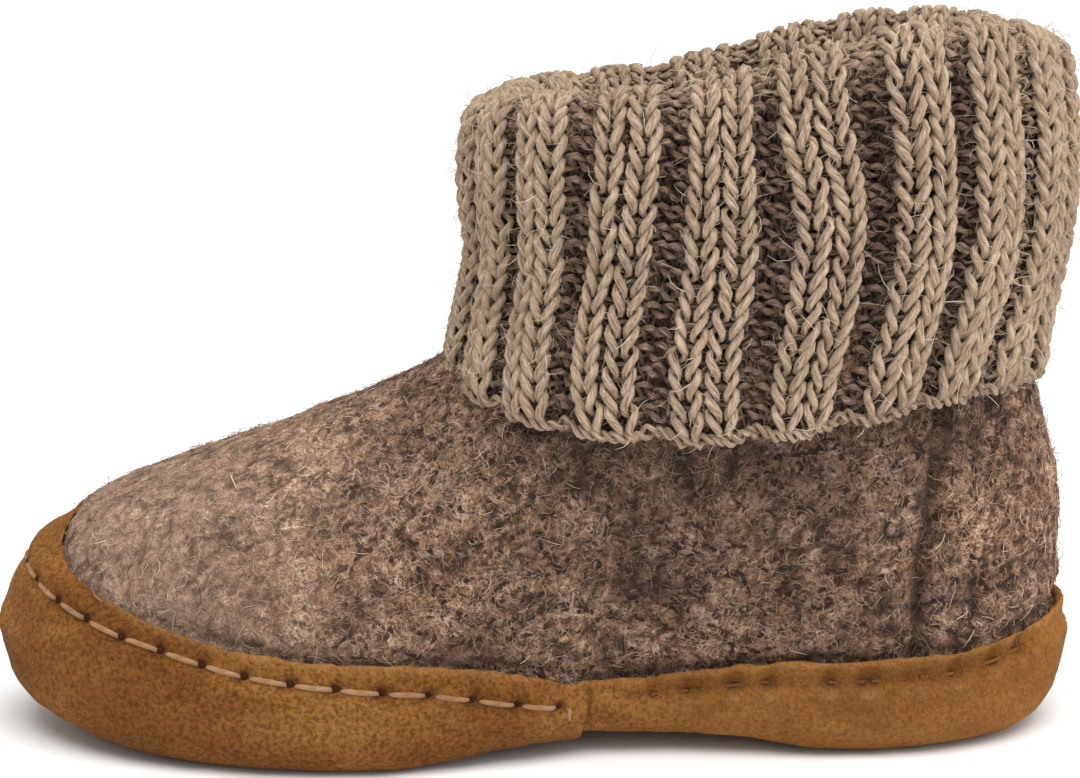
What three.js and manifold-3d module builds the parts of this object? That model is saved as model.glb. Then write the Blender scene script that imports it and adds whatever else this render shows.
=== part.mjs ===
// A toddler's slipper: a felted wool boot on a two-piece suede sole, with a thick rib-knit cuff turned down
// over the collar. Toe along -X, heel along +X, inner side of the foot along -Y, floor at z = 0, millimetres.
import * as THREE from 'three';
import Module from 'manifold-3d';

const wasm = await Module();
wasm.setup();
const { Manifold, Mesh } = wasm;

// Thicknesses and clearances
const FELT = 3.0;
const SUEDE = 1.5;
const INSOLE = 3.4;
const GAP = 0.3;
const TREAD_Z = SUEDE + GAP;

// Sole: where the forefoot suede steps out and laps over the heel suede, both thinned there by paring
const LAP_PARED = 0.8;
const LAP_STEP = LAP_PARED + GAP;
const LAP_RAMP_FROM = -7.5;
const LAP_RAMP_TO = -2.0;
const LAP_END = 7.5;
const LAP_CORNER = 4.0;
const HEEL_SUEDE_FROM = -1.0;

// Side seam of the felt: an upright groove on the inner side
const SEAM_WIDTH = 1.5;
const SEAM_DEPTH = 0.9;

// Cuff: knit thicknesses, ribs
const COLLAR_Z = 62.0;
const KNIT_OUTER = 4.4;
const KNIT_INNER = 3.4;
const KNIT_SLIT = 0.6;
const FOLD_R = (KNIT_OUTER + KNIT_SLIT + KNIT_INNER) / 2;
const RIB_DEPTH = 2.3;
const RIB_SHOULDER = 0.5;

// Ribs: how far each rib's middle lies from the front, round half the cuff, with the knit drawn widest at the
// ankle's side. From one middle to the next the knit is flat, falls at the shoulder and is deepest in the
// furrow.
const RIB_MIDDLES = [5.2, 15.5, 25, 36.5, 50, 64.5, 78, 88.5, 98.6, 109.2];
const RIB_SECTION = [
  { phase: 0, sunk: 0 },
  { phase: 0.3, sunk: RIB_SHOULDER },
  { phase: 0.5, sunk: RIB_DEPTH },
  { phase: 0.7, sunk: RIB_SHOULDER },
];

// Mesh fineness: columns round half the outline in degrees, closer where the suede steps out at the lap
const HALF_STEPS = 22;
const LAP_COLUMNS = [84.5, 86, 87.5, 89, 94, 96];
const CUP_STEPS = 4;
const CUP_TURN = 75;

// Felt outline, level by level from the tread to the collar. front and back are the ends of the level; the
// other columns are half-widths of the ellipse that would match the outline at that station of its length.
const STATIONS = [0, 0.33, 0.6, 0.85, 1];
const WIDTHS = ['toe', 'ball', 'waist', 'heel', 'seat'];
const TREAD = {
  z: TREAD_Z, front: -64, back: 66.2, toe: 27.5, ball: 27.6, waist: 18.4, heel: 23.4, seat: 28,
};
const CUP = { z: 5.0, front: -71.4, back: 71.8, toe: 32.0, ball: 31.0, waist: 21.9, heel: 28.2, seat: 33.0 };
const LEVELS = [
  { z: 12.0, front: -73.2, back: 73.4, toe: 32.8, ball: 31.5, waist: 22.4, heel: 29.0, seat: 34.0 },
  { z: 19.0, front: -70.9, back: 73.2, toe: 31.5, ball: 31.2, waist: 23.6, heel: 29.4, seat: 33.5 },
  { z: 24.0, front: -68.7, back: 73.2, toe: 29.8, ball: 30.6, waist: 24.6, heel: 29.6, seat: 33.0 },
  { z: 28.0, front: -66.2, back: 73.4, toe: 28.2, ball: 29.8, waist: 25.2, heel: 29.6, seat: 32.5 },
  { z: 31.0, front: -64.0, back: 73.4, toe: 27.0, ball: 29.0, waist: 25.6, heel: 29.4, seat: 32.3 },
  { z: 33.4, front: -60.0, back: 73.2, toe: 25.5, ball: 28.2, waist: 25.8, heel: 29.2, seat: 32.0 },
  { z: 37.2, front: -50.0, back: 72.4, toe: 22.5, ball: 26.6, waist: 26.0, heel: 28.8, seat: 31.5 },
  { z: 41.3, front: -37.4, back: 71.4, toe: 20.5, ball: 25.4, waist: 26.0, heel: 28.2, seat: 31.0 },
  { z: 45.6, front: -26.0, back: 70.5, toe: 20.0, ball: 25.0, waist: 25.8, heel: 27.6, seat: 30.5 },
  { z: 49.8, front: -15.6, back: 68.8, toe: 20.5, ball: 24.6, waist: 25.2, heel: 27.0, seat: 30.0 },
  { z: 53.6, front: -9.6, back: 67.0, toe: 23.5, ball: 24.6, waist: 24.8, heel: 26.5, seat: 29.5 },
  { z: 58.0, front: -6.8, back: 66.2, toe: 27.5, ball: 24.8, waist: 24.5, heel: 26.0, seat: 29.5 },
  { z: COLLAR_Z, front: -6.2, back: 66.0, toe: 29.5, ball: 25.0, waist: 24.4, heel: 25.8, seat: 29.5 },
];

// Centre line of the foot (the toe turns to the inner side, the waist is cut in there) and where it fades out
const CENTRE = [
  { x: -75, y: -3.0 },
  { x: -45, y: -1.2 },
  { x: 10, y: 1.8 },
  { x: 50, y: 0.3 },
  { x: 76, y: 0.0 },
];
const CENTRE_FADE = [22, 50];

// Lift of the tread: toe spring, level forefoot, arch, level heel
const LIFT = [
  { x: -84, z: 4.6 },
  { x: -46, z: 0.0 },
  { x: -16, z: 0.0 },
  { x: 1, z: 2.3 },
  { x: 22, z: 2.3 },
  { x: 42, z: 0.0 },
  { x: 63, z: 0.0 },
  { x: 84, z: 1.6 },
];
const LIFT_FADE = [8, 30];

// Top edge of the suede, seen from the side
const RIM = [
  { x: -95, z: 34.0 },
  { x: -74, z: 32.8 },
  { x: -69.5, z: 31.0 },
  { x: -65.3, z: 27.2 },
  { x: -60, z: 23.6 },
  { x: -54.5, z: 21.5 },
  { x: -46.8, z: 19.2 },
  { x: -39.4, z: 17.7 },
  { x: -30, z: 16.5 },
  { x: -17, z: 15.7 },
  { x: -5, z: 14.0 },
  { x: 7, z: 11.8 },
  { x: 17, z: 12.0 },
  { x: 30, z: 13.7 },
  { x: 48, z: 14.4 },
  { x: 57, z: 14.8 },
  { x: 64, z: 16.0 },
  { x: 71, z: 17.8 },
  { x: 95, z: 19.5 },
];

// Path of the side seam
const SEAM = [
  { x: 51.0, z: 6 },
  { x: 51.2, z: 25 },
  { x: 53.4, z: 42 },
  { x: 55.0, z: 57 },
];

// Cuff seen from above, and its lower edge, fold line and outward lean along it (share 0 front, 1 back)
const CUFF_PLAN = { z: 0, front: -10.6, back: 73.6, toe: 36, ball: 30, waist: 28.8, heel: 30, seat: 35 };
const HEM = [
  { share: 0.0, z: 51.0 },
  { share: 0.04, z: 48.4 },
  { share: 0.12, z: 46.2 },
  { share: 0.28, z: 45.0 },
  { share: 0.42, z: 44.9 },
  { share: 0.55, z: 46.0 },
  { share: 0.75, z: 48.8 },
  { share: 1.0, z: 50.4 },
];
const CREST = [
  { share: 0.0, z: 87.0 },
  { share: 0.06, z: 88.4 },
  { share: 0.2, z: 89.6 },
  { share: 0.36, z: 91.0 },
  { share: 0.5, z: 94.2 },
  { share: 0.62, z: 96.8 },
  { share: 0.78, z: 98.6 },
  { share: 0.9, z: 98.2 },
  { share: 1.0, z: 95.6 },
];
// Outward lean of the turned-down layer by height (0 hem, 1 fold) at the front, the side and the back
const LEAN = [
  { up: 0.0, front: 2.2, side: -0.4, back: -3.2 },
  { up: 0.12, front: 1.5, side: -0.2, back: -3.0 },
  { up: 0.3, front: 0.2, side: 0.0, back: -1.6 },
  { up: 0.5, front: -0.9, side: 0.0, back: -0.2 },
  { up: 0.7, front: -0.2, side: 0.0, back: 0.1 },
  { up: 0.88, front: 0.0, side: -0.2, back: -0.4 },
  { up: 1.0, front: -0.6, side: -0.6, back: -1.2 },
];
// Drift of the ribs along the cuff by height, forward being negative, in the front half and the back half
const DRIFT = [
  { up: 0.0, front: -0.6, back: -6.5 },
  { up: 0.15, front: -1.6, back: -4.0 },
  { up: 0.3, front: -1.4, back: -1.2 },
  { up: 0.5, front: 0.0, back: 0.0 },
  { up: 0.75, front: 0.4, back: -0.4 },
  { up: 1.0, front: 0.4, back: -2.0 },
];
// Section of the turned-down layer's outside: height share and how far it is drawn in
const FLAP = [
  { up: 0.0, inset: 1.2 },
  { up: 0.05, inset: 0.2 },
  { up: 0.25, inset: 0.0 },
  { up: 0.5, inset: 0.0 },
  { up: 0.75, inset: 0.0 },
  { up: 1.0, inset: 0.0 },
];
const FOLD_ANGLES = [36, 72, 108, 144];

const SUEDE_COLOUR = 0xa8743a;
const FELT_COLOUR = 0x8b7466;
const KNIT_COLOUR = 0xb39c7e;
const INSOLE_COLOUR = 0x86766a;

const ease = (from, to, v) => {
  const t = Math.min(1, Math.max(0, (v - from) / (to - from)));
  return t * t * (3 - 2 * t);
};

// Smooth curve through the rows of a table, by the named columns
function curve(rows, along, value) {
  const xs = rows.map((r) => r[along]);
  const ys = rows.map((r) => r[value]);
  const steps = xs.slice(1).map((x, i) => (ys[i + 1] - ys[i]) / (x - xs[i]));
  const slopes = ys.map((_, i) => {
    if (i === 0) return steps[0];
    if (i === ys.length - 1) return steps[i - 1];
    const before = xs[i] - xs[i - 1];
    const after = xs[i + 1] - xs[i];
    return (steps[i - 1] * after + steps[i] * before) / (before + after);
  });
  return (x) => {
    const c = Math.min(xs[xs.length - 1], Math.max(xs[0], x));
    let i = 0;
    while (i < xs.length - 2 && c > xs[i + 1]) i += 1;
    const h = xs[i + 1] - xs[i];
    const t = (c - xs[i]) / h;
    const s = 1 - t;
    return (1 + 2 * t) * s * s * ys[i] + t * s * s * h * slopes[i]
      + t * t * (3 - 2 * t) * ys[i + 1] - t * t * s * h * slopes[i + 1];
  };
}

// Curve that stays level between rows of equal value
function steps(rows, along, value) {
  return (x) => {
    const last = rows.length - 1;
    if (x <= rows[0][along]) return rows[0][value];
    if (x >= rows[last][along]) return rows[last][value];
    const i = rows.findIndex((r) => r[along] > x) - 1;
    const t = ease(rows[i][along], rows[i + 1][along], x);
    return rows[i][value] + (rows[i + 1][value] - rows[i][value]) * t;
  };
}

const centreAt = curve(CENTRE, 'x', 'y');
const liftAt = steps(LIFT, 'x', 'z');
const rimAt = curve(RIM, 'x', 'z');

// Column angles round a level, the same on both sides of the foot
const HALF_ANGLES = Array.from({ length: HALF_STEPS + 1 }, (_, i) => (180 * i) / HALF_STEPS)
  .concat(LAP_COLUMNS)
  .sort((a, b) => a - b);
const ANGLES = HALF_ANGLES.concat(HALF_ANGLES.slice(1, -1).reverse().map((a) => 360 - a));
const COLUMNS = ANGLES.length;

const mixRows = (a, b, t) => {
  const out = {};
  Object.keys(a).forEach((k) => {
    out[k] = a[k] + (b[k] - a[k]) * t;
  });
  return out;
};

// One level's outline: a point for each column, going round from the toe along the inner side
function outline(row, angles = ANGLES) {
  const table = WIDTHS.map((w, i) => ({ share: STATIONS[i], half: row[w] }));
  const half = curve(table, 'share', 'half');
  return angles.map((degrees) => {
    const angle = (degrees * Math.PI) / 180;
    const share = (1 - Math.cos(angle)) / 2;
    const x = row.front + (row.back - row.front) * share;
    const bend = centreAt(x) * (1 - ease(CENTRE_FADE[0], CENTRE_FADE[1], row.z));
    const rise = liftAt(x) * (1 - ease(LIFT_FADE[0], LIFT_FADE[1], row.z));
    return new THREE.Vector3(x, bend - Math.sin(angle) * half(share), row.z + rise);
  });
}

// All levels of the felt, the lower edge rounded like a cup
function feltRows() {
  const end = (CUP_TURN * Math.PI) / 180;
  const cup = Array.from({ length: CUP_STEPS + 1 }, (_, i) => {
    const turn = (end * i) / CUP_STEPS;
    const row = mixRows(TREAD, CUP, Math.sin(turn) / Math.sin(end));
    row.z = TREAD.z + ((CUP.z - TREAD.z) * (1 - Math.cos(turn))) / (1 - Math.cos(end));
    return row;
  });
  return [...cup, ...LEVELS];
}

const FELT_GRID = feltRows().map((row) => outline(row));

// Outward direction at every point of the felt grid; the tread faces down, the collar faces sideways
const FELT_NORMALS = FELT_GRID.map((ring, i) => ring.map((_, j) => {
  if (i === 0) return new THREE.Vector3(0, 0, -1);
  const top = Math.min(FELT_GRID.length - 1, i + 1);
  const round = ring[(j + 1) % COLUMNS].clone().sub(ring[(j + COLUMNS - 1) % COLUMNS]);
  const up = FELT_GRID[top][j].clone().sub(FELT_GRID[i - 1][j]);
  const out = round.cross(up);
  if (i === FELT_GRID.length - 1) out.z = 0;
  return out.normalize();
}));

function toManifold(points, triangles) {
  const vertProperties = new Float32Array(points.flatMap((p) => [p.x, p.y, p.z]));
  const mesh = new Mesh({ numProp: 3, vertProperties, triVerts: new Uint32Array(triangles.flat()) });
  mesh.merge();
  return new Manifold(mesh);
}

// Closed solid from stacked rings with matching left and right columns; both ends capped in straight strips
function stack(rings) {
  const n = rings[0].length;
  const points = rings.flat();
  const triangles = [];
  rings.slice(1).forEach((_, i) => {
    for (let j = 0; j < n; j += 1) {
      const a = i * n + j;
      const b = i * n + ((j + 1) % n);
      triangles.push([a, b, b + n], [a, b + n, a + n]);
    }
  });
  const cap = (base, turned) => {
    for (let j = 0; j < n / 2; j += 1) {
      const strip = [j, j + 1, n - j - 1, (n - j) % n].map((k) => base + k);
      const pair = [[strip[0], strip[2], strip[1]], [strip[0], strip[3], strip[2]]];
      pair.filter((t) => new Set(t).size === 3).forEach((t) => {
        triangles.push(turned ? [t[0], t[2], t[1]] : t);
      });
    }
  };
  cap(0, false);
  cap((rings.length - 1) * n, true);
  const solid = toManifold(points, triangles);
  return solid;
}

// The felt form grown by an amount that may change along the foot; extra raises the top end
function form(grow, extra = 0) {
  const amount = typeof grow === 'function' ? grow : () => grow;
  const rings = FELT_GRID.map((ring, i) => ring.map((p, j) => (
    p.clone().addScaledVector(FELT_NORMALS[i][j], amount(p.x))
  )));
  if (extra > 0) {
    rings.push(rings[rings.length - 1].map((p) => new THREE.Vector3(p.x, p.y, p.z + extra)));
  }
  return stack(rings);
}

// Solid across the whole width under a line seen from the side
function sideCut(points, fromY, toY) {
  const shape = new THREE.Shape(points.map((p) => new THREE.Vector2(p.x, p.z)));
  const geometry = new THREE.ExtrudeGeometry(shape, { depth: toY - fromY, bevelEnabled: false });
  geometry.rotateX(Math.PI / 2);
  geometry.translate(0, toY, 0);
  return fromGeometry(geometry);
}

function fromGeometry(geometry) {
  const flat = geometry.index ? geometry.toNonIndexed() : geometry;
  const place = flat.getAttribute('position');
  const pointAt = (_, i) => new THREE.Vector3().fromBufferAttribute(place, i);
  const points = Array.from({ length: place.count }, pointAt);
  const triangles = Array.from({ length: place.count / 3 }, (_, i) => [3 * i, 3 * i + 1, 3 * i + 2]);
  return toManifold(points, triangles);
}

function rimLine(fromX, toX, drop = 0) {
  const count = Math.ceil((toX - fromX) / 4);
  return Array.from({ length: count + 1 }, (_, i) => {
    const x = fromX + ((toX - fromX) * i) / count;
    return { x, z: rimAt(x) - drop };
  });
}

// Upper: felt wall, open at the collar and underneath, with the side seam pressed in
function buildUpper() {
  const shell = form(0).subtract(form(-FELT, 10));
  const tread = outline(TREAD);
  const hole = stack([
    tread.map((p) => new THREE.Vector3(p.x, p.y, -10)),
    tread.map((p) => new THREE.Vector3(p.x, p.y, TREAD_Z + FELT + 5)),
  ]);
  const left = SEAM.map((p) => ({ x: p.x - SEAM_WIDTH / 2, z: p.z }));
  const right = SEAM.map((p) => ({ x: p.x + SEAM_WIDTH / 2, z: p.z })).reverse();
  const blade = sideCut([...left, ...right], -60, -5);
  const groove = form(1).subtract(form(-SEAM_DEPTH, 10)).intersect(blade);
  return shell.subtract(hole).subtract(groove);
}

// Forefoot suede: turned up round the toe, its tail stepping out over the heel suede
function buildForefootSuede() {
  const step = (x) => LAP_STEP * ease(LAP_RAMP_FROM, LAP_RAMP_TO, x);
  const pared = (x) => SUEDE - (SUEDE - LAP_PARED) * ease(LAP_RAMP_FROM, LAP_RAMP_TO, x);
  const skin = form((x) => GAP + pared(x) + step(x)).subtract(form((x) => GAP + step(x), 10));
  const top = rimLine(-95, LAP_END - LAP_CORNER);
  const cornerZ = rimAt(LAP_END - LAP_CORNER) - LAP_CORNER;
  const corner = [60, 30, 0].map((degrees) => ({
    x: LAP_END - LAP_CORNER + LAP_CORNER * Math.cos((degrees * Math.PI) / 180),
    z: cornerZ + LAP_CORNER * Math.sin((degrees * Math.PI) / 180),
  }));
  const side = [{ x: -95, z: -20 }, { x: LAP_END, z: -20 }, ...corner.reverse(), ...top.reverse()];
  return skin.intersect(sideCut(side, -60, 60));
}

// Heel suede: turned up round the heel, its front end under the forefoot suede
function buildHeelSuede() {
  const pared = (x) => LAP_PARED + (SUEDE - LAP_PARED) * ease(LAP_END, LAP_END + 6, x);
  const skin = form((x) => GAP + pared(x)).subtract(form(GAP, 10));
  const tucked = rimLine(HEEL_SUEDE_FROM, LAP_END - LAP_CORNER, 1.2);
  const top = [...tucked, ...rimLine(LAP_END, 95)];
  const side = [{ x: HEEL_SUEDE_FROM, z: -20 }, { x: 95, z: -20 }, ...top.reverse()];
  return skin.intersect(sideCut(side, -60, 60));
}

// Insole: felt panel lying in the opening of the upper
function buildInsole() {
  const row = { ...TREAD, front: TREAD.front + GAP, back: TREAD.back - GAP };
  WIDTHS.forEach((w) => {
    row[w] -= GAP * 1.15;
  });
  const low = outline(row);
  return stack([low, low.map((p) => new THREE.Vector3(p.x, p.y, p.z + INSOLE))]);
}

// Cuff: knit tube standing on the collar, folded outwards and hanging down over the felt
function buildCuff() {
  const fine = outline({ ...CUFF_PLAN, z: 90 }, Array.from({ length: 720 }, (_, i) => i / 2));
  const lengths = [0];
  fine.forEach((p, i) => {
    lengths.push(lengths[i] + p.distanceTo(fine[(i + 1) % fine.length]));
  });
  const girth = lengths[fine.length];
  const onLoop = (arc) => {
    const wrapped = ((arc % girth) + girth) % girth;
    let i = 0;
    while (lengths[i + 1] < wrapped) i += 1;
    const a = fine[i];
    const b = fine[(i + 1) % fine.length];
    const t = (wrapped - lengths[i]) / (lengths[i + 1] - lengths[i]);
    const way = b.clone().sub(a).normalize();
    return { point: a.clone().lerp(b, t), out: new THREE.Vector3(way.y, -way.x, 0) };
  };
  const hemAt = curve(HEM, 'share', 'z');
  const crestAt = curve(CREST, 'share', 'z');
  const leans = ['front', 'side', 'back'].map((k) => curve(LEAN, 'up', k));
  const drifts = ['front', 'back'].map((k) => curve(DRIFT, 'up', k));
  const shareOf = (x) => Math.min(1, Math.max(0, (x - CUFF_PLAN.front) / (CUFF_PLAN.back - CUFF_PLAN.front)));
  const leanAt = (up, share) => {
    const side = 4 * share * (1 - share);
    const ends = share < 0.5 ? leans[0](up) : leans[2](up);
    return leans[1](up) * side + ends * (1 - side);
  };
  const driftAt = (up, arc) => {
    const half = girth / 2;
    const along = arc <= half ? arc / half : (girth - arc) / half;
    const forward = arc <= half ? 1 : -1;
    const ends = Math.min(1, 4 * along) * Math.min(1, 8 * (1 - along));
    const mixed = drifts[0](up) + (drifts[1](up) - drifts[0](up)) * ease(0.4, 0.72, along);
    return forward * ends * mixed;
  };
  const hemFade = (up) => 0.3 + 0.7 * ease(0, 0.25, up);
  const middles = [...RIB_MIDDLES, ...RIB_MIDDLES.map((arc) => girth - arc).reverse()];
  const columns = middles.flatMap((arc, i) => {
    const pitch = (middles[i + 1] ?? middles[0] + girth) - arc;
    return RIB_SECTION.map(({ phase, sunk }) => ({ arc: (arc + phase * pitch) % girth, sunk }));
  });
  const rings = columns.map(({ arc, sunk }) => {
    const section = [];
    const place = (up, inset, z, sway) => {
      const { point, out } = onLoop(arc + sway);
      const share = shareOf(point.x);
      const foldZ = crestAt(share) - FOLD_R;
      const hem = hemAt(share);
      const height = z === null ? hem + up * (foldZ - hem) : z(hem, foldZ);
      const lean = leanAt(Math.min(1, Math.max(0, (height - hem) / (foldZ - hem))), share);
      section.push(point.clone().addScaledVector(out, lean - inset).setZ(height));
    };
    FLAP.forEach((f) => place(f.up, f.inset + sunk * hemFade(f.up), null, driftAt(f.up, arc)));
    FOLD_ANGLES.forEach((degrees) => {
      const a = (degrees * Math.PI) / 180;
      const fade = sunk * Math.max(0, Math.cos(a / 2));
      const rise = (FOLD_R - fade * 0.6) * Math.sin(a);
      place(1, FOLD_R - (FOLD_R - fade) * Math.cos(a), (h, f) => f + rise, driftAt(1, arc));
    });
    place(1, 2 * FOLD_R, (h, f) => f, 0);
    place(1, 2 * FOLD_R, (h, f) => (f + COLLAR_Z) / 2, 0);
    place(1, 2 * FOLD_R - 0.3, () => COLLAR_Z + 2 * GAP, 0);
    place(1, 2 * FOLD_R - KNIT_INNER, () => COLLAR_Z + 2 * GAP, 0);
    place(1, 2 * FOLD_R - KNIT_INNER, (h, f) => f - 1, 0);
    place(1, KNIT_OUTER, (h, f) => f - 1, 0);
    place(1, KNIT_OUTER, (h, f) => (h + f) / 2, 0);
    place(1, KNIT_OUTER - 0.2, (h) => h + 0.4, 0);
    return section;
  });
  const n = rings[0].length;
  const triangles = [];
  rings.forEach((_, i) => {
    const next = (i + 1) % rings.length;
    for (let j = 0; j < n; j += 1) {
      const k = (j + 1) % n;
      triangles.push([i * n + j, next * n + j, next * n + k], [i * n + j, next * n + k, i * n + k]);
    }
  });
  const trimmed = toManifold(rings.flat(), triangles).subtract(form(GAP, GAP));
  return trimmed.decompose().sort((a, b) => b.volume() - a.volume())[0];
}

function named(name, solid, colour, roughness) {
  const { vertProperties, triVerts } = solid.getMesh();
  const geometry = new THREE.BufferGeometry();
  geometry.setAttribute('position', new THREE.BufferAttribute(new Float32Array(vertProperties), 3));
  geometry.setIndex(new THREE.BufferAttribute(new Uint32Array(triVerts), 1));
  geometry.computeVertexNormals();
  const mesh = new THREE.Mesh(geometry, new THREE.MeshStandardMaterial({ color: colour, roughness }));
  mesh.name = name;
  return mesh;
}

const slipper = new THREE.Group();
slipper.name = 'slipper';
slipper.add(named('outsole_forefoot', buildForefootSuede(), SUEDE_COLOUR, 0.9));
slipper.add(named('outsole_heel', buildHeelSuede(), SUEDE_COLOUR, 0.9));
slipper.add(named('upper', buildUpper(), FELT_COLOUR, 1.0));
slipper.add(named('insole', buildInsole(), INSOLE_COLOUR, 1.0));
slipper.add(named('cuff', buildCuff(), KNIT_COLOUR, 1.0));

export default slipper;
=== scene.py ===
# %% [markdown]
# # A toddler's felt slipper with a rib-knit cuff
# The slipper is a boot of felted wool. Two pieces of suede are turned up round it as a sole and sewn on
# with a running stitch, and a thick knitted cuff is turned down over the collar. The solids are loaded
# first as a fixed frame, and everything below dresses them: each solid is replaced by pieces that show how
# its material is made. Sizes are in millimetres, and `MM` turns them into Blender's metres.

# %% Load the solids
import math

import bmesh
import bpy
import numpy as np
from mathutils import Matrix, Vector, noise
from mathutils.bvhtree import BVHTree


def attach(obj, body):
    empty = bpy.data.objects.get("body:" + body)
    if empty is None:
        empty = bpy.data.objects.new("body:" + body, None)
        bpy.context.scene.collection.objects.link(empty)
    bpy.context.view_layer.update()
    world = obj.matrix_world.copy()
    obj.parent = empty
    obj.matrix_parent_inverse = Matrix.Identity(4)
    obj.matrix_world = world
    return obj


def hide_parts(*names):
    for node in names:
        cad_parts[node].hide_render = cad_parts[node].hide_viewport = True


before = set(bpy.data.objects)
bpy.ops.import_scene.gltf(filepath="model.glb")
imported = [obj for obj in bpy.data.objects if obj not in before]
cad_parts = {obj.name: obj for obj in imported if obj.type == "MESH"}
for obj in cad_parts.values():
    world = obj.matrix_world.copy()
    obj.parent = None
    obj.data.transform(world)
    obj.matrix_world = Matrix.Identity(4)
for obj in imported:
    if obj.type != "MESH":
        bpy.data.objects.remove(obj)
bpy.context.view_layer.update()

MM = 0.001
draw = np.random.default_rng(22)
print("solids:", sorted(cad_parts))

# %% [markdown]
# ## Even, softened copies of the solids
# A CAD solid is made of long triangles with crisp edges, and cloth has neither. A merged copy is rebuilt
# with small even faces by the voxel Remesh modifier and then relaxed with smooth_vert, which melts the
# facets and rounds the cut edges. Felt, insole and suede all start this way, and get their own bumps
# afterwards.

# %% Soft copies
def new_object(name, mesh):
    obj = bpy.data.objects.new(name, mesh)
    bpy.context.scene.collection.objects.link(obj)
    return obj


def object_from(bm, name):
    """Turns a bmesh into an object and frees the bmesh."""
    mesh = bpy.data.meshes.new(name)
    bm.to_mesh(mesh)
    bm.free()
    return new_object(name, mesh)


def relax(bm, verts, rounds):
    for _ in range(rounds):
        bmesh.ops.smooth_vert(bm, verts=verts, factor=0.5, use_axis_x=True, use_axis_y=True, use_axis_z=True)


def soft_copy(node, name, voxel, rounds):
    bm = bmesh.new()
    bm.from_mesh(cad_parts[node].data)
    bmesh.ops.remove_doubles(bm, verts=bm.verts, dist=0.001 * MM)
    holder = object_from(bm, name + "_raw")
    rebuild = holder.modifiers.new("even faces", "REMESH")
    rebuild.mode = "VOXEL"
    rebuild.voxel_size = voxel * MM
    even = bpy.data.meshes.new_from_object(holder.evaluated_get(bpy.context.evaluated_depsgraph_get()))
    bpy.data.objects.remove(holder)
    bm = bmesh.new()
    bm.from_mesh(even)
    relax(bm, bm.verts, rounds)
    print("soft copy of", node, "with", len(bm.verts), "points")
    return object_from(bm, name)


def smooth_again(obj, chosen, rounds):
    """Relaxes only the points that are chosen by their place."""
    bm = bmesh.new()
    bm.from_mesh(obj.data)
    relax(bm, [v for v in bm.verts if chosen(v.co)], rounds)
    bm.to_mesh(obj.data)
    bm.free()


def points_of(obj):
    """Points in millimetres, and the directions they face."""
    columns = []
    for word in ("co", "normal"):
        flat = np.empty(len(obj.data.vertices) * 3, np.float32)
        obj.data.vertices.foreach_get(word, flat)
        columns.append(flat.reshape(-1, 3).astype(float))
    return columns[0] / MM, columns[1]


def set_points(obj, points):
    obj.data.vertices.foreach_set("co", (points * MM).astype(np.float32).ravel())
    obj.data.update()


# %% [markdown]
# ## Soft steps, bells and lumps
# Soft shapes need soft numbers. `ease` climbs from 0 to 1, `bell` is 1 at zero and fades on both sides,
# `curve` is a smooth line through a few measured places, and `lumps` is Blender's own noise. With these,
# points are moved along the directions they face without a hard step anywhere.

# %% Soft numbers
def ease(start, end, v):
    t = np.clip((v - start) / (end - start), 0, 1)
    return t * t * (3 - 2 * t)


def bell(v, width):
    return np.exp(-(v / width) ** 2)


def unit(v):
    return v / np.linalg.norm(v, axis=-1, keepdims=True)


def curve(rows):
    """A smooth line through (place, value) rows, for numbers or arrays."""
    xs, ys = np.array(rows, float).T
    gaps = np.diff(xs)
    slopes = np.diff(ys) / gaps
    inner = (slopes[:-1] * gaps[1:] + slopes[1:] * gaps[:-1]) / (gaps[1:] + gaps[:-1])
    tangents = np.concatenate([slopes[:1], inner, slopes[-1:]])

    def value_at(x):
        c = np.clip(x, xs[0], xs[-1])
        i = np.clip(np.searchsorted(xs, c) - 1, 0, len(gaps) - 1)
        t, h = (c - xs[i]) / gaps[i], gaps[i]
        s = 1 - t
        return ((1 + 2 * t) * s * s * ys[i] + t * s * s * h * tangents[i]
                + t * t * (3 - 2 * t) * ys[i + 1] - t * t * s * h * tangents[i + 1])

    return value_at


def lumps(points, size, seed):
    """Noise whose bumps are about `size` millimetres wide."""
    shift = Vector((17.0, 5.0, 3.0)) * seed
    return np.array([noise.noise(Vector(p) + shift) for p in (points / size).tolist()])


print("ease half way:", ease(0, 1, 0.5), "bell one width out:", bell(1.0, 1.0).round(2))

# %% [markdown]
# ## Felt upper
# Boiled wool shrinks until its fibres lock, so the surface is a dense mat of small curls with hollows
# between them. The copy of the upper gets the slack of the whole wall, pills one can feel, which are
# flatter on the toe, and the curls. The side seam is pressed in as a narrow trough, the wool swells above
# the suede's rim, and the wall sinks a little where the cuff's weight rests on it.

# %% Felt shape
# Rows of lumps are (size, depth), hollows (x, z, radius, depth), troughs and rolls (amount, distance, width).
FELT_LUMPS = ((16.0, 0.45), (5.0, 0.22), (1.3, 0.16))
PILL_SIZE, PILL_HEIGHT, PILL_TOP, PILL_FOOT = 2.2, 0.8, 0.45, 0.22
SEAM = curve(((10, 51.0), (25, 51.2), (42, 53.4), (57, 55.0)))
SEAM_FOLDS = ((-1.3, 0, 1.0), (0.4, 2.6, 1.3))
RIM_FOLDS = ((0.55, 3.2, 2.0), (-0.5, 0, 1.0))
HOLLOWS = ((56.0, 45.5, 7.0, 1.3), (4.0, 30.0, 14.0, 0.7), (-16.0, 44.0, 9.0, 0.7))


def search_tree(obj):
    """A tree that finds the nearest place on an object, or what a ray meets."""
    return BVHTree.FromPolygons([v.co.copy() for v in obj.data.vertices],
                                [tuple(p.vertices) for p in obj.data.polygons])


def set_attributes(obj, **values):
    """Stores numbers, one for all points or one for each, under their names."""
    for name, value in values.items():
        layer = obj.data.attributes.new(name, "FLOAT", "POINT")
        layer.data.foreach_set("value", np.full(len(obj.data.vertices), value, np.float32))


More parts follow.
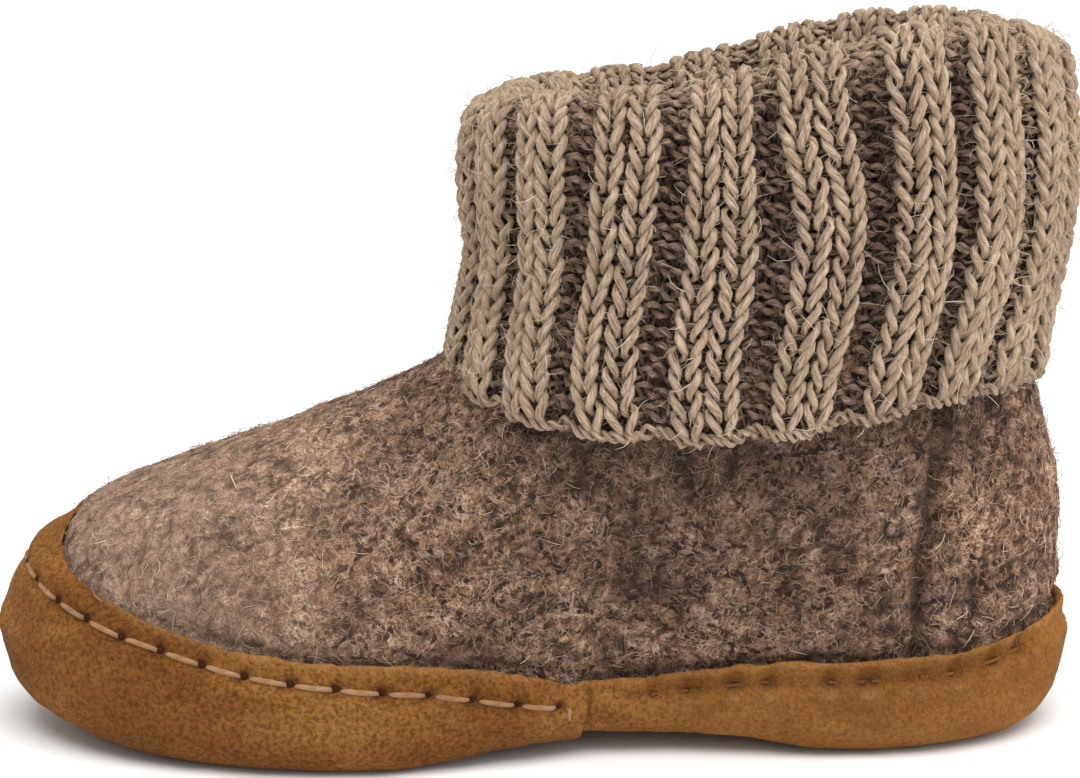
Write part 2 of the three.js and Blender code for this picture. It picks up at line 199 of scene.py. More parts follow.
felt = soft_copy("upper", "felt_upper", 0.8, 40)
smooth_again(felt, lambda co: co.x < -48 * MM and co.z > 14 * MM, 50)
felt_wall = search_tree(felt)
at, out = points_of(felt)
move = sum(depth * lumps(at, size, i + 1) for i, (size, depth) in enumerate(FELT_LUMPS))
pills = np.abs(lumps(at + 0.7 * out * lumps(at, 4.0, 12)[:, None], PILL_SIZE, 4))
flatter = 1 - 0.7 * ease(-14, -60, at[:, 0])
move += flatter * PILL_HEIGHT * (np.minimum(pills, PILL_TOP) - PILL_FOOT)
inner_side = ease(-4, -12, at[:, 1])
seam_gap = np.abs(at[:, 0] - SEAM(at[:, 2]))
move += inner_side * sum(amount * bell(seam_gap - far, width) for amount, far, width in SEAM_FOLDS)
SOLE = ("outsole_forefoot", "outsole_heel")
corners = np.concatenate([points_of(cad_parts[node])[0] for node in SOLE])
places = np.arange(-74, 75, 2.0)
suede_tops = [corners[np.abs(corners[:, 0] - x) < 3.0, 2].max() for x in places]
over_edge = at[:, 2] - np.interp(at[:, 0], places, suede_tops)
behind_toe = ease(-58, -48, at[:, 0])
move += behind_toe * sum(amount * bell(over_edge - far, width) for amount, far, width in RIM_FOLDS)
for x, z, radius, depth in HOLLOWS:
    move -= inner_side * depth * bell(at[:, 0] - x, radius) * bell(at[:, 2] - z, radius)
set_points(felt, at + out * move[:, None])
print("felt moved by", move.min().round(1), "to", move.max().round(1), "mm")

# %% [markdown]
# ## Where the felt is dark, calm or pale
# The hollows between pills, the seam and the line along the suede's rim are darkened with painted shade,
# the toe was pressed smoother and is calmer in colour, and broad patches are lighter or darker, partly
# the wool's own uneven tone and partly painted shade and painted light. All this is broad and soft, so
# attributes on the points carry it.

# %% Felt tones
# Rows of tones are (x, z, wide, high, amount): partly the wool's own tone, partly painted shade under the
# cuff (22, 43) and in the seam's hollow (56, 45), and painted light on the vamp (-32, 38) and round the back
# (68, 32).
TONES_AND_SHADING = ((20, 29, 32, 24, -0.55), (22, 43, 36, 7, -0.4), (-22, 17, 18, 9, -0.2), (56, 45, 5, 7, -0.6),
         (-32, 38, 20, 12, 0.28), (68, 32, 12, 16, 0.45))
MEAN_TONE, TOE_CALM = 1.5, 0.52


def felt_tone_and_shading(points):
    tone = np.full(len(points), MEAN_TONE)
    for x, z, wide, high, amount in TONES_AND_SHADING:
        tone += amount * bell(points[:, 0] - x, wide) * bell(points[:, 2] - z, high)
    return tone


# Painted shade in the lowest places between pills, in the seam's trough and along the suede's rim.
pit = 0.95 * bell(pills, 0.13) * ease(-0.45, 0.25, lumps(at, 6.0, 13))
pit = np.maximum(pit, 0.8 * inner_side * bell(seam_gap, 1.1))
pit = np.maximum(pit, 0.8 * behind_toe * bell(over_edge + 0.2 + 0.8 * lumps(at, 4.0, 14), 0.55))
calm = TOE_CALM * ease(-10, -60, at[:, 0])
set_attributes(felt, pit=pit * (1 - 0.6 * calm), calm=calm, area=felt_tone_and_shading(at))
print("share of the felt in dark pits", (pit > 0.5).mean().round(2))

# %% [markdown]
# ## Tools for materials
# Colours are picked as sRGB hex values, but shaders work in linear light, so one function converts them.
# Another adds a shader node with its settings, values, links and colour stops, which keeps each material
# short. The last gives a piece its material and slot, and hides the solid it replaces.

# %% Material tools
BLEND = {"data_type": "RGBA"}
TINT = {"data_type": "RGBA", "blend_type": "MULTIPLY"}
TIMES = {"operation": "MULTIPLY"}
TIMES_PLUS = {"operation": "MULTIPLY_ADD"}


def linear(code):
    channels = [int(code[i:i + 2], 16) / 255 for i in (1, 3, 5)]
    return tuple(c / 12.92 if c <= 0.04045 else ((c + 0.055) / 1.055) ** 2.4 for c in channels) + (1.0,)


def set_values(node, values):
    for key, value in values.items():
        node.inputs[key].default_value = value


def connect(node, links):
    """Links sockets to a node's inputs; a node stands for its first output in use."""
    for key, source in links.items():
        if isinstance(source, bpy.types.Node):
            source = next(socket for socket in source.outputs if socket.enabled)
        node.id_data.links.new(source, node.inputs[key])


def new_material(name, roughness, specular, sheen=(0, 0.5, "#ffffff")):
    """A material, its sheen given as weight, roughness and tint, and a function that adds nodes to it."""
    material = bpy.data.materials.new(name)
    material.use_nodes = True
    nodes = material.node_tree.nodes
    set_values(nodes["Principled BSDF"],
               {"Roughness": roughness, "Specular IOR Level": specular, "Sheen Weight": sheen[0],
                "Sheen Roughness": sheen[1], "Sheen Tint": linear(sheen[2])})

    def add(kind, links=None, values=None, settings=None, stops=()):
        node = nodes.new("ShaderNode" + kind)
        for key, value in (settings or {}).items():
            setattr(node, key, value)
        set_values(node, values or {})
        connect(node, links or {})
        for i, (place, colour) in enumerate(stops):
            elements = node.color_ramp.elements
            stop = elements[i] if i < 2 else elements.new(place)
            stop.position = place
            stop.color = linear(colour)
        return node

    return material, add


def finish_material(material, add, colour, height=None, strength=1.0, depth=1.0):
    """Links a colour to the shader, and a height as bumps of some millimetres."""
    links = {"Base Color": colour}
    if height is not None:
        links["Normal"] = add("Bump", {"Height": height}, {"Strength": strength, "Distance": depth * MM})
    connect(material.node_tree.nodes["Principled BSDF"], links)
    return material


def finish_piece(obj, material, stands_for=()):
    obj.data.materials.clear()
    obj.data.materials.append(material)
    for face in obj.data.polygons:
        face.use_smooth = True
    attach(obj, "root")
    if stands_for:
        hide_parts(*stands_for)
    print(obj.name, len(obj.data.vertices), "vertices", len(obj.data.polygons), "faces")


# %% [markdown]
# ## Felt as a material
# Heathered wool is spun from fibres dyed in several browns, so close up it is a mix of cream, taupe, rust
# and almost black specks. Noise at the size of the curls picks between them. Since the same noise gives
# the bumps, the darkest browns fall in the low places and are partly painted shade. Bent noise draws webs
# of single strands over it, one dark web fills the deepest hollows with painted shade, and a slower noise
# makes some areas warmer or darker. Real fibres are several times finer than these webs, which are drawn
# as coarse as they need to show.

# %% Felt material
# Webs are (size, bend, colour, amount, lift, which part of the noise), patches (size, low, high, amount).
STRAND = ((0.455, "#000000"), (0.5, "#ffffff"), (0.545, "#000000"))
HOLLOW_SHADE = ((0.35, "#ffffff"), (0.44, "#000000"))
# The web that uses the hollow stops is not a strand but painted shade in the deepest hollows.
FIBRE_WEBS = ((1.8, 2.5, "#26150c", 0.95, -0.35, STRAND), (1.7, 3.0, "#cdb7a5", 0.85, 0.35, STRAND),
              (1.1, 3.5, "#9c7f6b", 0.5, 0.3, STRAND), (1.7, 0.8, "#371f13", 1.0, -0.6, HOLLOW_SHADE),
              (2.6, 2.0, "#d8c8b9", 0.72, 0.35, STRAND))
WOOL_PATCHES = ((7.0, "#b5a091", "#fdf8f3", 0.65), (17.0, "#d8c9c3", "#fdf0e0", 0.7))
HEATHER = ((0.34, "#26140b"), (0.43, "#573b2b"), (0.5, "#82644f"), (0.57, "#a48670"), (0.68, "#c3aa94"))
# The second colour is the painted shade of the pits, the seam and the line above the suede's rim.
CALM_WOOL, PIT_SHADE = "#b0937e", "#2c190f"
CURL_SIZE, CURL_DEPTH = 1.8, 0.7


def felt_material(name, shades, bump):
    material, add = new_material(name, 1.0, 0.15, (0.13, 0.6, "#d8c8b8"))
    place = {"Vector": add("TexCoord").outputs["Object"]}
    height = add("TexNoise", place, {"Scale": 1 / (CURL_SIZE * MM), "Detail": 5.0, "Roughness": 0.7})
    colour = add("ValToRGB", {"Fac": height}, stops=shades)
    for size, bend, tone, amount, lift, stops in FIBRE_WEBS:
        curls = add("TexNoise", place, {"Scale": 1 / (size * MM), "Detail": 1.0, "Distortion": bend})
        thread = add("ValToRGB", {"Fac": curls}, stops=stops)
        web = add("Math", {0: thread}, {1: amount}, TIMES)
        colour = add("Mix", {"A": colour, "Factor": web}, {"B": linear(tone)}, BLEND)
        height = add("Math", {0: web, 2: height}, {1: lift}, TIMES_PLUS)
    for size, low, high, amount in WOOL_PATCHES:
        dye = add("TexNoise", place, {"Scale": 1 / (size * MM), "Detail": 2.0})
        cast = add("ValToRGB", {"Fac": dye}, stops=((0.4, low), (0.6, high)))
        colour = add("Mix", {"A": colour, "B": cast}, {"Factor": amount}, TINT)
    calm, area, pit = (add("Attribute", settings={"attribute_name": word}).outputs["Fac"]
                       for word in ("calm", "area", "pit"))
    softer = add("Mix", {"A": colour, "Factor": calm}, {"B": linear(CALM_WOOL)}, BLEND)
    # Broad tone of each point: partly the wool's own, partly painted shade and painted light.
    toned = add("Mix", {"A": softer, "B": area}, {"Factor": 1.0}, TINT)
    # Painted shade in the pits, in the seam and along the rim.
    dark = add("Mix", {"A": toned, "Factor": pit}, {"B": linear(PIT_SHADE)}, BLEND)
    return finish_material(material, add, dark, height, bump, CURL_DEPTH)


# Boiled wool, felted in hot water: no shine at all, specks of many browns and a faint bloom of fuzz.
boiled_wool = felt_material("boiled_wool_heather", HEATHER, 0.9)
finish_piece(felt, boiled_wool, ("upper",))

# %% [markdown]
# ## Insole
# The sole panel inside is the same felt, pressed flatter by the foot. It only shows through the mouth of
# the boot, so a softened copy of its solid with low lumps is enough.

# %% Insole
INSOLE_LUMP = 0.15
PRESSED = ((0.3, "#4a3d36"), (0.5, "#85756a"), (0.7, "#b3a394"))
insole = soft_copy("insole", "insole_panel", 1.5, 4)
at, out = points_of(insole)
set_points(insole, at + out * (INSOLE_LUMP * lumps(at, 2.5, 5))[:, None])
set_attributes(insole, calm=0, pit=0, area=1)
# Pressed felt: the same matt specks, greyer and with half the relief.
pressed_wool = felt_material("pressed_wool_felt", PRESSED, 0.5)
finish_piece(insole, pressed_wool, ("insole",))

# %% [markdown]
# ## The knitted cuff as a surface
# A cuff is one knitted tube: it stands on the collar, folds outwards and hangs down to its hem. To place
# stitches on it, the tube is described by two lengths. `arc` runs round the ankle and `s` runs up the flap
# from the hem, over the fold and down inside. The tables are the cuff's own sizes: half its width, its hem
# and its fold line from front to back. The ring is its plan, an even row of points with the directions they
# face.

# %% Plan of the cuff
FRONT, BACK, COLLAR, FOLD_R = -10.6, 73.6, 62.0, 4.2
HALF_WIDTH = curve(((0, 36.0), (0.33, 30.0), (0.6, 28.8), (0.85, 30.0), (1, 35.0)))
HEM = curve(((0, 51.0), (0.04, 48.4), (0.12, 46.2), (0.28, 45.0), (0.42, 44.9), (0.55, 46.0), (0.75, 48.8),
             (1, 50.4)))
CREST = curve(((0, 87.0), (0.06, 88.4), (0.2, 89.6), (0.36, 91.0), (0.5, 94.2), (0.62, 96.8), (0.78, 98.6),
               (0.9, 98.2), (1, 95.6)))


def lengths_along(points):
    return np.concatenate([[0], np.cumsum(np.linalg.norm(np.diff(points, axis=0), axis=1))])


turn = np.radians(np.linspace(0, 360, 1441))
share = (1 - np.cos(turn)) / 2
ring = np.stack([FRONT + (BACK - FRONT) * share, -np.sin(turn) * HALF_WIDTH(share)], 1)
ring_arc = lengths_along(ring)
GIRTH = ring_arc[-1]
step = unit(np.roll(ring[:-1], -1, 0) - np.roll(ring[:-1], 1, 0))
ring_out = np.stack([step[:, 1], -step[:, 0]], 1)
ring_table = np.concatenate([ring, np.concatenate([ring_out, ring_out[:1]])], 1)


def round_the_ring(arc):
    """Place x, y and facing x, y on the plan."""
    return [np.interp(np.mod(arc, GIRTH), ring_arc, column) for column in ring_table.T]


def share_of(x):
    return np.clip((x - FRONT) / (BACK - FRONT), 0, 1)


def flap_length(arc):
    where = share_of(round_the_ring(arc)[0])
    return CREST(where) - FOLD_R - HEM(where)


print("cuff girth", round(GIRTH, 1), "mm")

# %% [markdown]
# ## Ribs pulled out of line
# Hand-knitted ribs are never ruler straight: these were pulled forwards at the hem, and three wander on
# their way up. Between them the knit draws together into furrows, which open where the cuff is stretched
# round the back. Places are counted in ribs, with whole numbers at their middles.

# %% Ribs
# Rows of wander are (arc, reach, low, high, amount), where low and high are shares of the flap.
RIB_MIDDLES = np.array((5.2, 15.5, 25, 36.5, 50, 64.5, 78, 88.5, 98.6, 109.2))
CROWN, FURROW, DEEP_ARC = 0.9, 2.7, (68, 14)
DRIFT_FRONT = curve(((0, -0.6), (0.15, -1.6), (0.3, -1.4), (0.5, 0), (0.75, 0.4), (1, 0.4)))
DRIFT_BACK = curve(((0, -6.5), (0.15, -4.0), (0.3, -1.2), (0.5, 0), (0.75, -0.4), (1, -2.0)))
WANDER = ((64, 9, 0.55, 0.95, -2.4), (37, 8, 0.6, 0.95, 1.2), (80, 9, 0.35, 0.0, 1.5))
middles = np.concatenate([RIB_MIDDLES, GIRTH - RIB_MIDDLES[::-1]])
RIBS = len(middles)
rib_numbers = np.arange(-2, RIBS + 2)
rib_places = np.concatenate([middles[-2:] - GIRTH, middles, middles[:2] + GIRTH])


def drift(up, arc):
    """How far the ribs have moved round the ankle, at a share of the flap's height."""
    a = np.mod(arc, GIRTH)
    half = GIRTH / 2
    forward = np.where(a <= half, 1.0, -1.0)
    along = np.where(a <= half, a, GIRTH - a) / half
    ends = np.minimum(1, 4 * along) * np.minimum(1, 8 * (1 - along))
    front, back = DRIFT_FRONT(up), DRIFT_BACK(up)
    sway = forward * ends * (front + (back - front) * ease(0.4, 0.72, along))
    for middle, reach, low, high, amount in WANDER:
        sway = sway + amount * ease(low, high, up) * bell(a - middle, reach)
    return sway


def arc_at(ribs):
    return np.interp(ribs, rib_numbers, rib_places)


def at_the_back(arc):
    """1 round the back of the ankle, where the furrows open up, and 0 elsewhere."""
    a = np.mod(arc, GIRTH)
    return ease(86, 95, np.minimum(a, GIRTH - a))


def rib_relief(arc):
    """How far the knit sinks from a rib's middle to the furrow."""
    a = np.mod(arc, GIRTH)
    ribs = np.interp(a, rib_places, rib_numbers)
    off = np.abs(ribs - np.round(ribs))
    furrow = FURROW * (1 + 0.5 * bell(a - DEEP_ARC[0], DEEP_ARC[1]) - 0.45 * at_the_back(arc))
    return CROWN * np.minimum(1, off / 0.36) ** 2 + furrow * ease(0.28, 0.48, off)


print(RIBS, "ribs, one every", round(GIRTH / RIBS, 1), "mm")

# %% [markdown]
# ## The folded sheet
# One function bends the two lengths into place: up the flap, round the fold in a half circle and down
# inside. The flap leans in or out by a few millimetres, with a table each for front, sides and back.
# Everything knitted below asks this function for its place and for the direction that faces outwards.

# %% Folded cuff
LEAN_FRONT = curve(((0, 2.2), (0.12, 1.5), (0.3, 0.2), (0.5, -0.9), (0.7, -0.2), (0.88, 0), (1, -0.6)))
LEAN_SIDE = curve(((0, -0.4), (0.12, -0.2), (0.3, 0), (0.7, 0), (0.88, -0.2), (1, -0.6)))
LEAN_BACK = curve(((0, -3.2), (0.12, -3.0), (0.3, -1.6), (0.5, -0.2), (0.7, 0.1), (0.88, -0.4), (1, -1.2)))
INSIDE_END = 0.8


def cuff_surface(arc, s, rise):
    up = np.clip(s / flap_length(arc), 0, 1)
    x, y, out_x, out_y = round_the_ring(arc + drift(up, arc))
    where = share_of(x)
    hem, fold = HEM(where), CREST(where) - FOLD_R
    flap = fold - hem
    angle = np.clip((s - flap) / FOLD_R, 0, np.pi)
    down = np.maximum(0, s - flap - np.pi * FOLD_R)
    radius = FOLD_R + rise
    z = hem + np.minimum(s, flap) + radius * np.sin(angle) - down
    level = np.clip((z - hem) / flap, 0, 1)
    side = 4 * where * (1 - where)
    ends = np.where(where < 0.5, LEAN_FRONT(level), LEAN_BACK(level))
    lean = LEAN_SIDE(level) * side + ends * (1 - side) - FOLD_R + radius * np.cos(angle)
    place = np.stack([x + out_x * lean, y + out_y * lean, z], -1)
    facing = np.stack([out_x * np.cos(angle), out_y * np.cos(angle), np.sin(angle)], -1)
    return place, facing


def full_length(arc):
    where = share_of(round_the_ring(arc)[0])
    return flap_length(arc) + np.pi * FOLD_R + CREST(where) - FOLD_R - COLLAR - INSIDE_END


def relief_at(arc, s):
    """The ribs' relief, lower at the hem and nearly flat over the fold."""
    up = s / flap_length(arc)
    return rib_relief(arc) * (0.4 + 0.6 * ease(0, 0.18, up)) * (1 - 0.75 * ease(0.82, 1.08, up))


print("the tube is", np.round(full_length(np.array((0, GIRTH / 2))), 0), "mm long at front and back")

# %% [markdown]
# ## Backing of the knit
# Between the loops one looks into shadow and brown fuzz, never through the cuff. A thin sheet just behind
# the loops does that: a grid is laid out flat, each of its points is moved to the cuff's surface, the two
# ends are merged into a ring and the sheet is given a thickness.

# %% Knit backing
ROUND, UPWARD = RIBS * 8, 40
BACKING_START, BACKING_THICK = 0.6, 0.5
SHADOW_BROWN = ((0.3, "#1c120d"), (0.5, "#33241c"), (0.7, "#52402f"))
bm = bmesh.new()
bmesh.ops.create_grid(bm, x_segments=ROUND, y_segments=UPWARD, size=0.5)
flat = np.array([v.co for v in bm.verts]) + 0.5
arc = flat[:, 0] * GIRTH
s = BACKING_START + flat[:, 1] * (full_length(arc) - BACKING_START)
behind_loops = -2.0 + 1.0 * ease(0.85, 1.0, s / flap_length(arc))
place, _ = cuff_surface(arc, s, behind_loops - relief_at(arc, s))
for vert, p in zip(bm.verts, place):
    vert.co = Vector(p) * MM
bmesh.ops.remove_doubles(bm, verts=bm.verts, dist=0.01 * MM)
bmesh.ops.recalc_face_normals(bm, faces=bm.faces)
bmesh.ops.solidify(bm, geom=bm.faces, thickness=BACKING_THICK * MM)
backing = object_from(bm, "knit_backing")
set_attributes(backing, calm=0, pit=0, area=1)
# Painted shade behind the loops: matted brown wool coloured almost black, without any shine.
shade_behind_knit_mat = felt_material("painted_shade_behind_knit", SHADOW_BROWN, 0.6)
finish_piece(backing, shade_behind_knit_mat, ("cuff",))

# %% [markdown]
# ## One stitch as a wave
# Rib knitting puts two plain stitches beside two purl stitches. Each row is one strand: it dips behind,
# climbs as one leg of a loop, crosses over the head and comes down as the other leg. On a plain stitch the
# legs lie in front and look like a V; on a purl stitch the head and the dips lie in front and look like a
# row of little bumps. So every stitch is one turn of a wave, and the arrays hold it for a whole row, with
# fewer points in the furrows.

# %% Stitches of one row
PLAIN_WIDTH, PURL_WIDTH = 0.35, 0.15
PLAIN_HEIGHT, PURL_HEIGHT = 0.95, 0.75
PLAIN_STEPS, PURL_STEPS = 16, 8
FOOT_HIDDEN, HEAD_SPREAD, CHANGE_SPREAD = 0.35, 1.1, 0.7
columns = []
for rib in range(RIBS):
    start = rib - PLAIN_WIDTH
    for width, sign in ((PLAIN_WIDTH, 1), (PLAIN_WIDTH, 1), (PURL_WIDTH, -1), (PURL_WIDTH, -1)):
        columns.append((start, width, sign))
        start += width
first_places, column_widths, signs = np.array(columns).T
steps_in = [PLAIN_STEPS if sign > 0 else PURL_STEPS for sign in signs]
column_of = np.repeat(np.arange(len(columns)), steps_in)
phase = np.concatenate([np.arange(n) * 2 * np.pi / n for n in steps_in])
starts, widths, own = first_places[column_of], column_widths[column_of], signs[column_of]
before, after = (np.roll(signs, shift)[column_of] for shift in (1, -1))


def by_stitch(plain_value, purl_value):
    return np.where(own > 0, plain_value, purl_value)


enter, leave = bell(phase, CHANGE_SPREAD), bell(2 * np.pi - phase, CHANGE_SPREAD)
side_sign = own * (1 - enter - leave) + enter * (own + before) / 2 + leave * (own + after) / 2
climb = by_stitch(np.cos(phase), np.sign(np.cos(phase)) * np.abs(np.cos(phase)) ** 0.45)
head = bell(phase - np.pi, HEAD_SPREAD)
foot = (np.where(before < 0, 1, FOOT_HIDDEN) * bell(phase, HEAD_SPREAD)
        + np.where(after < 0, 1, FOOT_HIDDEN) * bell(2 * np.pi - phase, HEAD_SPREAD))
bump = head + foot
# Painted shade on the parts of each stitch that lie behind: heads and dips of plain stitches, legs of purl
# ones.
behind = by_stitch(0.8 * ease(0, 1, np.cos(2 * phase)), 1 - bump)
print(len(columns), "stitches in a row,", len(phase), "points in its path")

# %% [markdown]
# ## Knitting
# The wave of a row is laid on the cuff's surface, with a little looseness for every stitch, and a round
# section is carried along it. The first rows are evenly high; those over the fold and inside share what
# length is left. The tubes have few sides, since there are thousands of loops, and code bends them because
# no operator knits. Attributes tell the material where along and around the strand a point is, and what
# yarn it shows.

# %% Strands
ROW, ROWS, EVEN_ROWS, FLAP_ROWS, FIRST_ROW = 2.6, 32, 15, 19, 0.9
LOOP_SWING, LOOP_DEPTH, LOOP_TILT = 0.25, 0.7, 0.28
PURL_SWING, PURL_SLANT, PURL_BACK, PURL_FORWARD = 0.36, 0.45, -1.25, 2.05
PALE_FOLD, PALE_BACK, FOLD_ROWS = 0.95, 0.8, (0.46, 0.56)
STRAND_R, STRAND_SUNK = 0.53, 0.75


def piece_from_arrays(name, points, faces):
    mesh = bpy.data.meshes.new(name)
    mesh.from_pydata((np.asarray(points) * MM).tolist(), [], np.asarray(faces).tolist())
    return new_object(name, mesh)


def strands(name, paths, facings, radii, sides, closed, run):
    """Round strands along paths: arrays of (strand, point, xyz), with the direction that faces outwards."""
    ahead = np.roll(paths, -1, 1) - np.roll(paths, 1, 1)
    if not closed:
        ahead[:, 0] = paths[:, 1] - paths[:, 0]
        ahead[:, -1] = paths[:, -1] - paths[:, -2]
    ahead = unit(ahead)
    across = unit(np.cross(ahead, facings))
    up = np.cross(across, ahead)
    angles = np.pi + np.arange(sides) * 2 * np.pi / sides
    rings = (paths[:, :, None] + radii[:, :, None, None]
             * (np.cos(angles)[:, None] * up[:, :, None] + np.sin(angles)[:, None] * across[:, :, None]))
    count, length = paths.shape[:2]
    index = np.arange(count * length * sides).reshape(count, length, sides)
    last = length if closed else length - 1
    here, there = index[:, :last], np.roll(index, -1, 1)[:, :last]
    faces = np.stack([here, np.roll(here, -1, 2), np.roll(there, -1, 2), there], -1).reshape(-1, 4)
    obj = piece_from_arrays(name, rings.reshape(-1, 3), faces)
    around = np.tile(np.arange(sides) / sides, count * length)
    set_attributes(obj, run=np.repeat(run.ravel(), sides), around=around)
    return obj


def knit_rows(rows):
    """Paths of whole rows, the directions they face and their thickness."""
    row = np.array(rows)[:, None]
    swing = by_stitch(LOOP_SWING, PURL_SWING)
    row_arc = arc_at(starts + widths * (phase / (2 * np.pi) + swing * np.sin(2 * phase)))
    slant = by_stitch(0, PURL_SLANT * (head * np.cos(phase / 2) - foot * np.sin(phase)))
    leg = -side_sign * LOOP_DEPTH * np.cos(2 * phase) - LOOP_TILT * np.cos(phase)
    loop_relief = by_stitch(leg, PURL_BACK + PURL_FORWARD * bump)
    thick = by_stitch(0.66 + 0.52 * np.sin(phase) ** 2, 0.4 + 0.55 * bump)
    shared_out = (full_length(arc_at(starts)) - ROW * EVEN_ROWS) / (ROWS - EVEN_ROWS)
    base = ROW * np.minimum(row, EVEN_ROWS) + shared_out * np.maximum(row - EVEN_ROWS, 0)
    pitch = np.where(row < EVEN_ROWS, ROW, shared_out)
    loose = draw.normal(0, 1, (len(row), 3, len(columns)))[..., column_of]
    loose = sum(np.roll(loose, k, 2) for k in range(-2, 3)) / 5
    arc = row_arc + by_stitch(0.16, 0.24) * loose[:, 0]
    s = (base + pitch * (0.5 - by_stitch(PLAIN_HEIGHT, PURL_HEIGHT) * climb + slant)
         + by_stitch(0.18, 0.38) * loose[:, 1] + FIRST_ROW)
    rise = -STRAND_SUNK - relief_at(arc, s) + loop_relief * (1 - 0.5 * ease(*FOLD_ROWS, row / ROWS))
    return cuff_surface(arc, s, rise), STRAND_R * (thick + by_stitch(0.06, 0.1) * loose[:, 2])


def knit_piece(name, rows, sides):
    (paths, facings), radii = knit_rows(rows)
    run = np.cumsum(np.linalg.norm(np.diff(paths, axis=1, prepend=paths[:, -1:]), axis=2), axis=1)
    obj = strands(name, paths, facings, radii, sides, True, run)
    folded = ease(*FOLD_ROWS, np.array(rows)[:, None] / ROWS)
    light = np.maximum(PALE_FOLD * folded, PALE_BACK * at_the_back(arc_at(starts)))
    pale = np.maximum(ease(-0.4, 0.6, side_sign), light)
    # The painted shade is weaker over the fold and round the back.
    hidden = behind * (1 - 0.85 * light)
    set_attributes(obj, plain=np.repeat(pale.ravel(), sides), deep=np.repeat(hidden.ravel(), sides))
    print(name, "holds", round(run[:, -1].sum() / 1000, 1), "m of yarn")
    return obj


flap_knit = knit_piece("knit_flap", range(0, FLAP_ROWS), 5)
inner_knit = knit_piece("knit_inside", range(FLAP_ROWS, ROWS), 4)

# %% [markdown]
# ## Yarn as a material
# The yarn has two faces: the plain stitches show a natural beige ply, the furrows a brown heather. Each
# strand keeps the twist of its plies, drawn as slanted stripes that follow the strand, and noise stretched
# along it gives single hairs. Strands that dip behind a loop are darkened with painted shade. Real hairs
# are far finer; these are as coarse as they need to be.

# %% Yarn material
BEIGE = ((0.34, "#806957"), (0.46, "#b09983"), (0.58, "#cbb8a2"), (0.7, "#e3d5c2"))
BROWN = ((0.34, "#563f34"), (0.5, "#9b8071"), (0.66, "#c8b1a3"))
YARN_AREAS, YARN_AREA = ((0.35, "#d9cdc2"), (0.65, "#fff8ee")), 9
PLY_LENGTH, HAIR_DENSE, HAIR_ROUND, YARN_SHADOW = 2.4, 0.6, 9.0, "#2a180f"


def yarn_material(name, light, brown, sheen=0.2):
    material, add = new_material(name, 0.95, 0.2, (sheen, 0.5, "#efe2cd"))
    place = {"Vector": add("TexCoord").outputs["Object"]}
    run, around, plain, deep = (add("Attribute", settings={"attribute_name": word}).outputs["Fac"]
                                for word in ("run", "around", "plain", "deep"))
    along = add("Math", {0: run}, {1: 2 * math.pi / PLY_LENGTH}, TIMES)
    twist = add("Math", {0: around, 2: along}, {1: 4 * math.pi}, TIMES_PLUS)
    ply = add("Math", {0: twist}, settings={"operation": "SINE"})
    lengthwise = add("Math", {0: run}, {1: HAIR_DENSE}, TIMES)
    sideways = add("Math", {0: around, 2: lengthwise}, {1: HAIR_ROUND}, TIMES_PLUS)
    laid = add("CombineXYZ", {"X": lengthwise, "Y": sideways})
    hairs = add("TexNoise", {"Vector": laid}, {"Scale": 1.0, "Detail": 4.0, "Roughness": 0.7})
    areas = add("TexNoise", place, {"Scale": 1 / (YARN_AREA * MM), "Detail": 2.0})
    beige = add("ValToRGB", {"Fac": hairs}, stops=light)
    heather = add("ValToRGB", {"Fac": hairs}, stops=brown)
    both = add("Mix", {"Factor": plain, "A": heather, "B": beige}, settings=BLEND)
    shade = add("ValToRGB", {"Fac": areas}, stops=YARN_AREAS)
    mixed = add("Mix", {"A": both, "B": shade}, {"Factor": 0.7}, TINT)
    lost = add("Math", {0: deep}, {1: 0.75}, TIMES)
    shaded = add("Mix", {"A": mixed, "Factor": lost}, {"B": linear(YARN_SHADOW)}, BLEND)
    height = add("Math", {0: ply, 2: hairs}, {1: 0.25}, TIMES_PLUS)
    return finish_material(material, add, shaded, height, 0.9, 0.4)


# Plied wool yarn: matt, striped by its twist and slightly bright at the edges, where loose hairs catch light.
wool_yarn = yarn_material("plied_wool_yarn", BEIGE, BROWN)
finish_piece(flap_knit, wool_yarn)
finish_piece(inner_knit, wool_yarn)

# %% [markdown]
# ## Cast-on edge
# The hem of the flap starts with a cast-on row, two strands that wrap round each other once for every
# stitch and make a light, slightly scalloped cord. Two helices along the hem give the same cord.

# %% Cast-on edge
TWISTS, TWIST_STEPS, EDGE_R, EDGE_SIDES, EDGE_SLACK = RIBS * 4, 8, 0.38, 6, 0.22
round_arc = np.arange(TWISTS * TWIST_STEPS) * GIRTH / (TWISTS * TWIST_STEPS)
twist = 2 * np.pi * TWISTS * round_arc / GIRTH + np.array(((0,), (np.pi,)))
slack = np.repeat(draw.normal(0, EDGE_SLACK, (2, 2, TWISTS)), TWIST_STEPS, axis=2)
s = 0.2 + 0.5 * np.cos(twist) + 0.2 * rib_relief(round_arc) + slack[:, 0]
rise = -0.8 - 0.4 * rib_relief(round_arc) + 0.45 * np.sin(twist) + slack[:, 1]
edge = strands("knit_cast_on_edge", *cuff_surface(round_arc, s, rise), np.full(twist.shape, EDGE_R),
               EDGE_SIDES, True, np.tile(round_arc, 2))
set_attributes(edge, plain=0.85, deep=0)
finish_piece(edge, wool_yarn)

# %% [markdown]
# ## Suede sole
# The suede is split leather with a raised nap, turned up over the felt in two pieces. Each starts as a
# softened copy of its solid, with rounder cut edges. The tail of the front piece laps over the heel piece
# at the waist.

